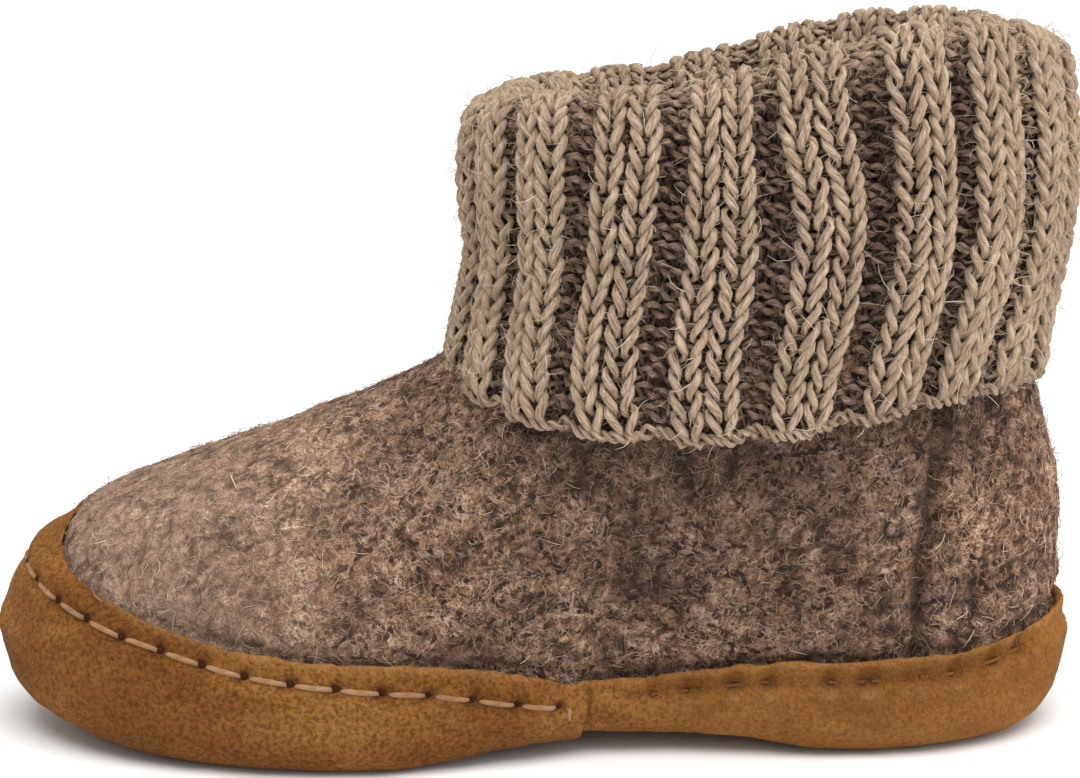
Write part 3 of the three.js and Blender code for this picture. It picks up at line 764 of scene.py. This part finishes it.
# %% Suede pieces
def top_edge(obj, heelwards):
    """Height of a sole piece's top edge along the foot; it only rises towards toe or heel."""
    at, _ = points_of(obj)
    places = np.arange(at[:, 0].min() + 1, at[:, 0].max(), 2.0)
    tops = np.array([at[np.abs(at[:, 0] - x) < 1.6, 2].max() for x in places])
    rising = np.maximum.accumulate(tops) if heelwards else np.maximum.accumulate(tops[::-1])[::-1]
    return lambda x: np.interp(x, places, rising)


suede_front = soft_copy("outsole_forefoot", "suede_forefoot", 0.6, 6)
suede_heel = soft_copy("outsole_heel", "suede_heel", 0.6, 8)
LAP_X = points_of(suede_front)[0][:, 0].max()
print("the front piece laps over the heel piece up to x", round(LAP_X, 1), "mm")

# %% [markdown]
# ## Leather laid on the felt
# Damp leather is pulled over the felt by hand, so its rim lies on the wool. Points near the rim move
# towards the smooth felt wall. At the tip of the toe they also slide up along it, and the tail gets
# rounded, thinner corners. The rims are relaxed once more at the end, so that they run as soft lines.

# %% Rim of the suede
HUG_DEEP, HUG_FADE, RIM_FRONT, RIM_TOE, RIM_HEEL, RIM_SOFT = 4.5, 8, 0.9, 0.2, 1.25, 1.6
TOE_REACH, TOE_DEEP = 4.6, 8.0
TAB_RADIUS, TAB_REACH, TAB_LEAN, TAB_TALL, TAB_THIN = 3.6, 8.0, 0.16, 8, 0.6
TOUCHED = 0.01
UP = np.array((0, 0, 1.0))


def gap_to_felt(point):
    spot, normal, _, _ = felt_wall.find_nearest(Vector(point) * MM)
    normal = np.array(normal)
    return (point - np.array(spot) / MM) @ normal, normal


def hug(obj, heelwards, from_x, by, sink, thick):
    """Draws a piece's rim in and sinks its inner face into the felt, from a distance to the middle on."""
    at, _ = points_of(obj)
    near = ease(HUG_DEEP, 0.5, top_edge(obj, heelwards)(at[:, 0]) - at[:, 2])
    near *= ease(from_x - HUG_FADE, from_x, np.abs(at[:, 0]))
    for i in np.where(near > TOUCHED)[0]:
        gap, normal = gap_to_felt(at[i])
        wanted = min(gap - by, thick) - sink * ease(0.5, 0.0, gap)
        at[i] += near[i] * normal * (wanted - gap)
    set_points(obj, at)


def draw_over_toe(obj):
    at, _ = points_of(obj)
    top = at[:, 2].max()
    pull = ease(-50, -58, at[:, 0]) * ease(15, 3, np.abs(at[:, 1]))
    pull *= ease(top - TOE_DEEP, top - 0.5, at[:, 2])
    for i in np.where(pull > TOUCHED)[0]:
        gap, normal = gap_to_felt(at[i])
        upward = UP - normal[2] * normal
        moved = at[i] + pull[i] * TOE_REACH * upward / np.linalg.norm(upward)
        new_gap, normal = gap_to_felt(moved)
        at[i] = moved + normal * (gap - new_gap)
    set_points(obj, at)
    print("toe rim moved", int((pull > TOUCHED).sum()), "points, top now", round(at[:, 2].max(), 1), "mm")


def round_tail(obj):
    """Rounds, slants and thins the end of the tail that laps over the heel piece."""
    at, _ = points_of(obj)
    under = top_edge(obj, False)(at[:, 0]) - at[:, 2] - 0.5
    inset = np.clip(TAB_RADIUS - np.maximum(under, 0), 0, TAB_RADIUS)
    bite = TAB_RADIUS - np.sqrt(TAB_RADIUS ** 2 - inset ** 2)
    near_end = np.clip(1 + (at[:, 0] - at[:, 0].max()) / TAB_REACH, 0, 1)
    at[:, 0] -= near_end * (bite + TAB_LEAN * np.clip(TAB_TALL - at[:, 2], 0, TAB_TALL))
    at[:, 1] -= np.sign(at[:, 1]) * TAB_THIN * near_end ** 2
    set_points(obj, at)


hug(suede_front, False, from_x=0, by=0.4, sink=0.2, thick=RIM_FRONT)
hug(suede_heel, True, from_x=0, by=0.2, sink=0.3, thick=RIM_HEEL)
round_tail(suede_front)
draw_over_toe(suede_front)
smooth_again(suede_front, lambda co: co.x < -56 * MM and co.z > 22 * MM, 12)
hug(suede_front, False, from_x=58, by=0.25, sink=1.5, thick=RIM_TOE)
hug(suede_heel, True, from_x=50, by=0, sink=0.6, thick=RIM_HEEL)
for obj, heelwards in ((suede_front, False), (suede_heel, True)):
    rim_height = top_edge(obj, heelwards)
    smooth_again(obj, lambda co: co.z / MM > rim_height(co.x / MM) - RIM_SOFT, 6)

# %% [markdown]
# ## Where the thread goes
# The stitch line is found by looking at each piece from outside at the height of the stitches: along one
# side, round the end and back along the other side. Its points and the directions they face carry thread,
# holes and dimples.

# %% Stitch line
STITCH_HEIGHT = curve(((-76, 25.0), (-70, 23.8), (-66.8, 22.2), (-59.3, 19.3), (-48.9, 16.7), (-37.4, 14.2),
                       (-25.6, 12.7), (-13.6, 11.3), (0, 8.5), (6, 7.6)))
HEEL_DROP, OUTSIDE, LINE_STEP = 2.7, 90, 0.7


def seen_from(tree, origin, direction):
    hit, normal, _, _ = tree.ray_cast(Vector(origin) * MM, Vector(direction))
    return (np.array(hit) / MM, np.array(normal)) if hit else (None, None)


def stitch_line(obj, end_x, centre_x, sign, height):
    """Points round a sole piece at a height, from the inner side round the end to the outer side."""
    tree = search_tree(obj)
    rays = [(x, -OUTSIDE, (0, 1, 0)) for x in np.arange(end_x, centre_x, LINE_STEP * sign)]
    for turn_by in np.radians(np.arange(-90, 90.1, 1.5)):
        way = (-sign * math.cos(turn_by), -math.sin(turn_by), 0.0)
        rays.append((centre_x - way[0] * OUTSIDE, -way[1] * OUTSIDE, way))
    rays += [(x, OUTSIDE, (0, -1, 0)) for x in np.arange(centre_x, end_x, -LINE_STEP * sign)]
    line = []
    for x, y, way in rays:
        z = height(x if abs(way[1]) == 1 else centre_x + sign * 10)
        for _ in range(4):
            hit, normal = seen_from(tree, (x, y, z), way)
            if hit is None:
                break
            z = height(hit[0])
        if hit is not None:
            line.append((hit, normal))
    return np.array([p for p, _ in line]), np.array([n for _, n in line])


def along_line(line, distances):
    """Places on a line and the directions they face, at distances from its start."""
    run = lengths_along(line[0])
    place, facing = (np.stack([np.interp(distances, run, column) for column in table.T], -1)
                     for table in line)
    return place, unit(facing)


heel_edge = top_edge(suede_heel, True)
front_line = stitch_line(suede_front, 4.6, -52.0, -1, STITCH_HEIGHT)
heel_line = stitch_line(suede_heel, 12.0, 50.0, 1, lambda x: heel_edge(x) - HEEL_DROP)
print("stitch lines", [round(lengths_along(line[0])[-1]) for line in (front_line, heel_line)], "mm long")

# %% [markdown]
# ## Leather drawn in by the thread
# Every stitch pulls the leather down along the line and most of all at the holes, and the strip between
# stitches and rim swells into a soft roll. The heel is sewn less evenly: its holes pucker, with a pinch
# above and a raised lip below. Slow and fine lumps give the skin its unevenness. Attributes remember the
# holes and puckers with their painted shade, the painted shadow of the tail's end on the heel piece, the
# rim, lighter partly from rubbing and partly from a painted highlight that also lights the heel's lips,
# the sleeker heel, and the tone, with painted light round the back of the heel. The forefoot also keeps
# the places of its needle holes, with a notch of painted shade beside each stitch.

# %% Dimpled leather
STITCH_PITCH, STITCH_SHOWS, HOLE_BESIDE, HOLE_SINK, HOLE_UP = 6.1, 4.9, 0.55, 0.88, 0.3
TIP_CALM, SPINE, NOTCH_SHADOW, NOTCH_SHADOW_R = 0.7, (-45, 48), (0.2, 0, 0.5), 0.9
ROLL_UP, PINCH_UP, LIP_DROP, LIP_HEIGHT, DEEPEST = 2.6, 1.7, 1.6, 0.8, 1.15
SKIN_LUMPS = ((0.14, 2.6, 7), (0.08, 1.2, 8), (0.22, 11.0, 9))
# Suede tones are (from x, to x, amount); the rise round the back of the heel is painted light on a face
# turned from the lamps.
SUEDE_TONES_AND_LIGHT = ((-62, -35, -0.06), (0, 40, 0.17), (58, 75, 0.3))
HOLES = []


def dimple(obj, line, first, depth, heelwards):
    slack, wide, dark = (1.1, 1.3, 0.5) if heelwards else (0.12, 0.9, 1.0)
    starts = np.arange(first, lengths_along(line[0])[-1] - STITCH_SHOWS, STITCH_PITCH)
    starts = starts + draw.uniform(-slack, slack, len(starts))
    holes, _ = along_line(line, np.concatenate([starts, starts + STITCH_SHOWS]))
    middles, _ = along_line(line, starts + STITCH_SHOWS / 2)
    strength = draw.uniform(0.3, 1.3, len(holes)) if heelwards else np.repeat((1.0, 0.5), len(starts))
    at, out = points_of(obj)
    near_line = np.where(at[:, 2] > line[0][:, 2].min() - 6)[0]

    def reach(spots):
        return np.linalg.norm(at[near_line, None] - spots[None], axis=2)

    def strongest(spots, width):
        return (strength * bell(reach(spots), width)).max(1)

    hole = strongest(holes, wide)
    middle, groove = reach(middles).min(1), reach(line[0][::2]).min(1)
    roll = reach(line[0][::2] + ROLL_UP * UP).min(1)
    move = np.zeros(len(at))
    move[near_line] = -depth * (hole + 0.6 * bell(groove, 0.9))
    move[near_line] += depth * (0.7 * bell(roll, 1.5) - 0.25 * bell(middle, 1.5))
    if heelwards:
        lips = strongest(holes - LIP_DROP * UP, 0.9)
        move[near_line] += depth * (LIP_HEIGHT * lips - 0.75 * strongest(holes + PINCH_UP * UP, 1.1))
        move = np.maximum(move, -DEEPEST)
    tip = 1 - TIP_CALM * ease(64, 73, np.abs(at[:, 0]))
    skin = sum(amount * lumps(at, size, seed) for amount, size, seed in SKIN_LUMPS)
    aside = at[:, :2] - np.stack([np.clip(at[:, 0], *SPINE), np.zeros(len(at))], -1)
    aside /= np.linalg.norm(aside, axis=1, keepdims=True) + 1e-9
    outer_face = np.clip(2 * (out[:, :2] * aside).sum(1), -1, 1)
    set_points(obj, at + out * (move * tip * outer_face + skin * ease(0.2, 2.5, at[:, 2]))[:, None])

    shade, lap_gap = np.zeros(len(at)), at[:, 0] - LAP_X
    # Painted shade at the holes and in the heel's puckers.
    shade[near_line] = dark * tip[near_line] * hole ** 1.2
    # The lighter rim is partly rubbed wear and partly a painted highlight on the rolled edge.
    rubbed_and_lit_rim = bell(np.maximum(0, top_edge(obj, heelwards)(at[:, 0]) - at[:, 2]), 0.9)
    if heelwards:
        # Painted shadow cast by the end of the front piece's tail onto the heel piece.
        shade = np.maximum(shade, 0.5 * bell(lap_gap - 0.2, 0.6))
        # A painted highlight on the raised lip below each heel pucker.
        rubbed_and_lit_rim[near_line] = np.maximum(rubbed_and_lit_rim[near_line], 0.9 * lips)
    else:
        spots, facing = along_line(line, starts - HOLE_BESIDE)
        HOLES.extend(spots - facing * HOLE_SINK + HOLE_UP * UP)
        # A notch of painted shade above and beside each hole, where the pucker shades the leather.
        notch_shadow = bell(reach(spots + np.array(NOTCH_SHADOW)), NOTCH_SHADOW_R).max(1)
        shade[near_line] = np.maximum(shade[near_line], notch_shadow)
        rubbed_and_lit_rim = np.maximum(rubbed_and_lit_rim, 0.2 * bell(lap_gap, 0.5))
    # Tone along the foot, with painted light round the back of the heel.
    area = 1.01 + sum(amount * ease(start, end, at[:, 0]) for start, end, amount in SUEDE_TONES_AND_LIGHT)
    set_attributes(obj, hole=shade, sleek=0.4 * ease(4, 30, at[:, 0]), edge=rubbed_and_lit_rim, area=area)
    return starts


front_starts = dimple(suede_front, front_line, 1.6, 0.5, False)
heel_starts = dimple(suede_heel, heel_line, 3.0, 0.9, True)
print(len(front_starts), "stitches in the forefoot,", len(heel_starts), "round the heel")

# %% [markdown]
# ## Suede as a material
# Suede has a nap of very fine leather fibres that lies in soft strokes, so its colour drifts between honey
# and brown and it has no shine, only a bloom at glancing angles. Top edges are lighter, partly from rubbing
# and partly as a painted highlight, needle holes and puckers are darkened with painted shade, and the heel
# is sleeker. The real nap is far finer than the 0.6 mm drawn here, which is as coarse as it needs to show.

# %% Suede material
NAP_SIZE, NAP_DEPTH, CLOUD_SIZE, STROKES = 0.6, 0.9, 9, (0.45, 0.45, 1.0)
HONEY = ((0.36, "#74471d"), (0.5, "#8a5826"), (0.64, "#a06e37"))
NAP_SHADE = ((0.36, "#8f765b"), (0.6, "#ffffff"))
SLEEK_SUEDE, RUBBED_AND_LIT_SUEDE, HOLE_SHADE_SUEDE = "#815629", "#b98a55", "#2c170a"


def suede_material(name, tones):
    material, add = new_material(name, 0.95, 0.15, (0.3, 0.45, "#b07f48"))
    place = {"Vector": add("TexCoord").outputs["Object"]}
    sleek, area, edge, hole = (add("Attribute", settings={"attribute_name": word}).outputs["Fac"]
                               for word in ("sleek", "area", "edge", "hole"))
    strokes = {"Vector": add("Mapping", place, {"Scale": STROKES})}
    cloud = add("TexNoise", strokes, {"Scale": 1 / (CLOUD_SIZE * MM), "Detail": 5.0, "Roughness": 0.6})
    nap = add("TexNoise", place, {"Scale": 1 / (NAP_SIZE * MM), "Detail": 3.0, "Roughness": 0.6})
    base = add("ValToRGB", {"Fac": cloud}, stops=tones)
    grain = add("ValToRGB", {"Fac": nap}, stops=NAP_SHADE)
    napped = add("Mix", {"A": base, "B": grain}, {"Factor": 0.7}, TINT)
    polished = add("Mix", {"A": napped, "Factor": sleek}, {"B": linear(SLEEK_SUEDE)}, BLEND)
    toned = add("Mix", {"A": polished, "B": area}, {"Factor": 1.0}, TINT)
    # Lighter rim: partly rubbed wear, partly a painted highlight.
    rub_and_light = add("Math", {0: edge}, {1: 0.35}, TIMES)
    worn_and_lit = add("Mix", {"A": toned, "Factor": rub_and_light}, {"B": linear(RUBBED_AND_LIT_SUEDE)}, BLEND)
    # Painted shade at holes, puckers and notches.
    hole_shade = add("Math", {0: hole}, {1: 0.8}, TIMES)
    dark = add("Mix", {"A": worn_and_lit, "Factor": hole_shade}, {"B": linear(HOLE_SHADE_SUEDE)}, BLEND)
    return finish_material(material, add, dark, nap, 1.0, NAP_DEPTH)


# Split suede, buffed to a nap: a cloudy honey brown with no shine and a warm bloom at its edges.
split_suede = suede_material("split_suede_honey", HONEY)
finish_piece(suede_front, split_suede, ("outsole_forefoot",))
finish_piece(suede_heel, split_suede, ("outsole_heel",))

# %% [markdown]
# ## Running stitch
# A thick waxed thread goes in and out along the edge. Each visible stitch is a short strand whose ends dive
# into the leather, so it is a bowed path with a round section. The heel is sewn with a thread of the
# suede's own colour that lies deep between the puckers. A needle hole is a small ball sunk into the
# leather, so that only its top shows, coloured nearly black as painted shadow.

# %% Running stitch
THREAD_POINTS, THREAD_SIDES, THREAD_DIVE = 9, 7, 0.75
HOLE_R = 0.66
ROSE = ((0.3, "#916a4a"), (0.5, "#aa8260"), (0.7, "#ba9776"))
TAN = ((0.3, "#6e4319"), (0.5, "#875525"), (0.7, "#9c6a33"))
HOLE_SHADOW_BROWN = ((0.3, "#1e0c04"), (0.5, "#2f1407"), (0.7, "#43200c"))


def running_stitch(name, line, starts, thread_r, lift, dive, material, shows=STITCH_SHOWS):
    shares = np.linspace(0, 1, THREAD_POINTS)
    arch = np.sin(np.pi * shares)
    bow = lift * arch ** 0.7 - THREAD_DIVE * (1 - arch) ** dive - 0.1
    points, normals = along_line(line, np.asarray(starts)[:, None] + shares * shows)
    radii = np.tile(thread_r * (0.75 + 0.25 * arch), (len(starts), 1))
    run = np.tile(shares * shows, len(starts))
    obj = strands(name, points + normals * bow[:, None], normals, radii, THREAD_SIDES, False, run)
    set_attributes(obj, plain=1, deep=0)
    finish_piece(obj, material)


# Waxed linen thread: twisted like the yarn, rose beige on the forefoot and as brown as the suede on the heel.
rose_thread = yarn_material("waxed_thread_rose_beige", ROSE, BROWN)
tan_thread = yarn_material("waxed_thread_tan", TAN, BROWN)
# The inside of a needle hole: raw leather in shadow, nearly black, without sheen.
hole_dark = yarn_material("needle_hole_shadow", HOLE_SHADOW_BROWN, BROWN, sheen=0)
bm = bmesh.new()
for spot in HOLES:
    there = Matrix.Translation(Vector(spot) * MM)
    bmesh.ops.create_icosphere(bm, subdivisions=2, radius=HOLE_R * MM, matrix=there)
needle_holes = object_from(bm, "needle_holes")
set_attributes(needle_holes, run=1, around=1, plain=1, deep=0)
finish_piece(needle_holes, hole_dark)
running_stitch("stitches_forefoot", front_line, front_starts, 0.38, -0.2, 4, rose_thread)
running_stitch("stitches_heel", heel_line, heel_starts, 0.28, -1.15, 2, tan_thread)
tree = search_tree(suede_front)
hits = [seen_from(tree, (LAP_X - 2.4, -OUTSIDE, z), (0, 1, 0)) for z in np.linspace(8.6, 5.0, 9)]
lap_line = [np.array(column) for column in zip(*hits)]
running_stitch("stitch_at_lap", lap_line, [0.3], 0.32, -0.05, 2, rose_thread, 2.8)

# %% [markdown]
# ## Loose fibres
# What makes felt and yarn look woollen is the halo of loose fibres. Thousands of them are needed, so they
# are built as one mesh of narrow ribbons: each starts on the surface, runs along it in a random direction,
# curls and lifts a little. A hair system would do the same, but its strands would not be part of the mesh
# that is kept. The ribbons are two to four times as broad as real fibres, so that they show.

# %% Fibres
FIBRE_LOW, ROOT_SPREAD, ROOT_DEEP, LOOSE_SHARE, LIFT_SHAPE = 0.3, 0.4, 0.12, 0.35, 1.6


def surface_roots(obj, count, keep):
    """Random points on an object, a little off its vertices, and the directions they face."""
    at, out = points_of(obj)
    picked = draw.choice(np.where(keep(at, out))[0], count)
    aside = draw.uniform(-ROOT_SPREAD, ROOT_SPREAD, (count, 3))
    aside -= (aside * out[picked]).sum(1, keepdims=True) * out[picked]
    return at[picked] + aside, out[picked]


def no_tone(points):
    return np.ones(len(points))


def fibre_piece(name, rooted, length, lift, width, bend, material, area=no_tone, joints=3):
    roots, normals = rooted
    count = len(roots)
    tangent = unit(np.cross(draw.normal(size=(count, 3)), normals))
    side = np.cross(normals, tangent)
    long = draw.uniform(*length, count)
    curl = draw.uniform(-bend, bend, count)
    high = draw.gamma(LIFT_SHAPE, lift / LIFT_SHAPE, count)
    shares = np.linspace(0, 1, joints)
    heading = (curl[:, None] * shares)[..., None]
    stride = long[:, None, None] / (joints - 1)
    ways = np.cos(heading) * tangent[:, None] + np.sin(heading) * side[:, None]
    path = roots[:, None] + np.cumsum(ways, 1) * stride - ways[:, :1] * stride
    loose = draw.uniform(0, 1, count) < LOOSE_SHARE
    profile = np.where(loose[:, None], shares[None] ** 1.3, np.sin(np.pi * shares)[None])
    path += normals[:, None] * (high[:, None] * profile - ROOT_DEEP)[..., None]
    path[..., 2] = np.maximum(path[..., 2], FIBRE_LOW)
    lean = draw.uniform(0, np.pi, count)[:, None]
    broad = np.cross(ways, (np.cos(lean) * normals + np.sin(lean) * side)[:, None])
    broad /= np.linalg.norm(broad, axis=2, keepdims=True) + 1e-9
    half = (draw.uniform(*width, count)[:, None] / 2 * (1 - 0.6 * shares[None] ** 3))[..., None]
    points = np.stack([path - broad * half, path + broad * half], 2)
    index = np.arange(count * joints * 2).reshape(count, joints, 2)
    faces = np.stack([index[:, :-1, 0], index[:, :-1, 1], index[:, 1:, 1], index[:, 1:, 0]], -1)
    obj = piece_from_arrays(name, points.reshape(-1, 3), faces.reshape(-1, 4))
    tone = draw.uniform(0, 1, count)
    # The fibres take the broad tone of their roots, painted shade and painted light included.
    set_attributes(obj, tone=np.repeat(tone, joints * 2), area=np.repeat(area(roots), joints * 2))
    finish_piece(obj, material)


def fibre_material(name, shades):
    material, add = new_material(name, 0.9, 0.2)
    tone, area = (add("Attribute", settings={"attribute_name": word}).outputs["Fac"]
                  for word in ("tone", "area"))
    ramp = add("ValToRGB", {"Fac": tone}, stops=shades)
    return finish_material(material, add, add("Mix", {"A": ramp, "B": area}, {"Factor": 1.0}, TINT))


# Loose wool: single hairs that catch light, in browns for felt and furrows, in beige for the plain stitches.
WOOL_FIBRES = ((0.0, "#361f15"), (0.3, "#614536"), (0.65, "#876c5b"), (0.95, "#a9917e"), (1.0, "#c2b09e"))
wool_fibre = fibre_material("loose_wool_fibre", WOOL_FIBRES)
yarn_fibre = fibre_material("loose_yarn_fibre", ((0.0, "#8d7860"), (0.5, "#c6b294"), (1.0, "#e6d9c3")))
furrow_fibre = fibre_material("loose_furrow_fibre", ((0.0, "#3e2b22"), (0.5, "#877063"), (1.0, "#bfa99c")))
# Raised nap: short leather fibres that break up the suede's outline and catch a little light.
nap_fibre = fibre_material("raised_suede_nap", ((0.0, "#5a3413"), (0.5, "#8a5826"), (1.0, "#b07c42")))

# %% [markdown]
# ## Fuzz on felt, knit and suede
# Felt and yarn carry the longest fibres, the sunk furrows a brown fuzz, and suede a very short nap. Roots
# under the suede, behind the cuff or inside the boot would never be seen, so a ray from each point looks
# for something in the way.

# %% Fuzz
IN_THE_WAY = [(search_tree(obj), reach)
              for obj, reach in ((suede_front, 1.5), (suede_heel, 1.5), (backing, 9), (felt, 9))]


def in_the_open(at, out):
    free = np.zeros(len(at), bool)
    for i in np.where((out[:, 2] > -0.8) & (at[:, 2] > 1))[0]:
        start, way = Vector(at[i] + out[i] * 0.3) * MM, Vector(out[i])
        free[i] = not any(tree.ray_cast(start, way, reach * MM)[0] for tree, reach in IN_THE_WAY)
    return free


fibre_piece("felt_fibres", surface_roots(felt, 28000, in_the_open), (1.0, 4.0), 0.3, (0.05, 0.11), 2.4,
            wool_fibre, felt_tone_and_shading, 4)
plain = np.empty(len(flap_knit.data.vertices), np.float32)
flap_knit.data.attributes["plain"].data.foreach_get("value", plain)
fibre_piece("knit_fibres", surface_roots(flap_knit, 12000, lambda at, out: plain > 0.5), (1.4, 4.6), 0.85,
            (0.05, 0.085), 2.2, yarn_fibre, joints=4)
fibre_piece("furrow_fibres", surface_roots(flap_knit, 7500, lambda at, out: plain < 0.5), (1.0, 3.0), 0.6,
            (0.04, 0.07), 3.0, furrow_fibre)
for name, obj, count in (("suede_nap_forefoot", suede_front, 7000), ("suede_nap_heel", suede_heel, 5000)):
    fibre_piece(name, surface_roots(obj, count, in_the_open), (0.4, 0.9), 0.06, (0.08, 0.16), 0.8,
                nap_fibre)

# %% [markdown]
# ## Camera
# The camera stands a third of a metre from the slipper's inner side, a little higher than the cuff, and
# looks slightly down, as in the photograph. Its focal length is known in pixels of a frame 1080 wide, and
# the sensor's width turns that into millimetres.

# %% Camera
FRAME_WIDTH, FOCAL_PIXELS, SENSOR = 1080, 2491.6, 36.0
EYE, AIM = Vector((0.8, -340, 112)) * MM, Vector((0.8, 0, 46.5)) * MM
camera = new_object("camera", bpy.data.cameras.new("camera"))
camera.data.sensor_width = SENSOR
camera.data.lens = FOCAL_PIXELS / FRAME_WIDTH * SENSOR
camera.data.clip_start = 0.01
camera.location = EYE
camera.rotation_euler = (AIM - EYE).to_track_quat("-Z", "Y").to_euler()
bpy.context.scene.camera = camera
print("camera with a lens of", round(camera.data.lens, 1), "mm")

# %% [markdown]
# ## Light and floor
# A broad sun from above and a little in front lights the toe and the ribs, a weaker one from the right
# opens the heel, and a pale surrounding keeps all shadows soft. The floor is a plain sheet of pale paper.
# The Standard view shows the colours as they were picked.

# %% Light and floor
SUN_SPREAD, ROOM_STRENGTH, FLOOR_SIZE = math.radians(50), 0.55, 8.0


def add_sun(name, comes_from, strength):
    sun = new_object(name, bpy.data.lights.new(name, "SUN"))
    sun.data.energy = strength
    sun.data.angle = SUN_SPREAD
    sun.rotation_euler = (-Vector(comes_from)).to_track_quat("-Z", "Y").to_euler()
    print(name, "of strength", strength)


add_sun("window_light", (0.1, -0.4, 1.0), 2.6)
add_sun("fill_light", (0.9, -0.6, 0.5), 0.7)
world = bpy.data.worlds.new("pale_room")
world.use_nodes = True
set_values(world.node_tree.nodes["Background"], {"Color": linear("#ffffff"), "Strength": ROOM_STRENGTH})
bpy.context.scene.world = world

bm = bmesh.new()
bmesh.ops.create_grid(bm, x_segments=1, y_segments=1, size=FLOOR_SIZE)
floor = object_from(bm, "floor")
# Pale matt paper: it takes a soft shadow and shows nothing else.
paper, _ = new_material("pale_paper_floor", 0.9, 0.5)
set_values(paper.node_tree.nodes["Principled BSDF"], {"Base Color": linear("#fafafa")})
floor.data.materials.append(paper)
bpy.context.scene.view_settings.view_transform = "Standard"
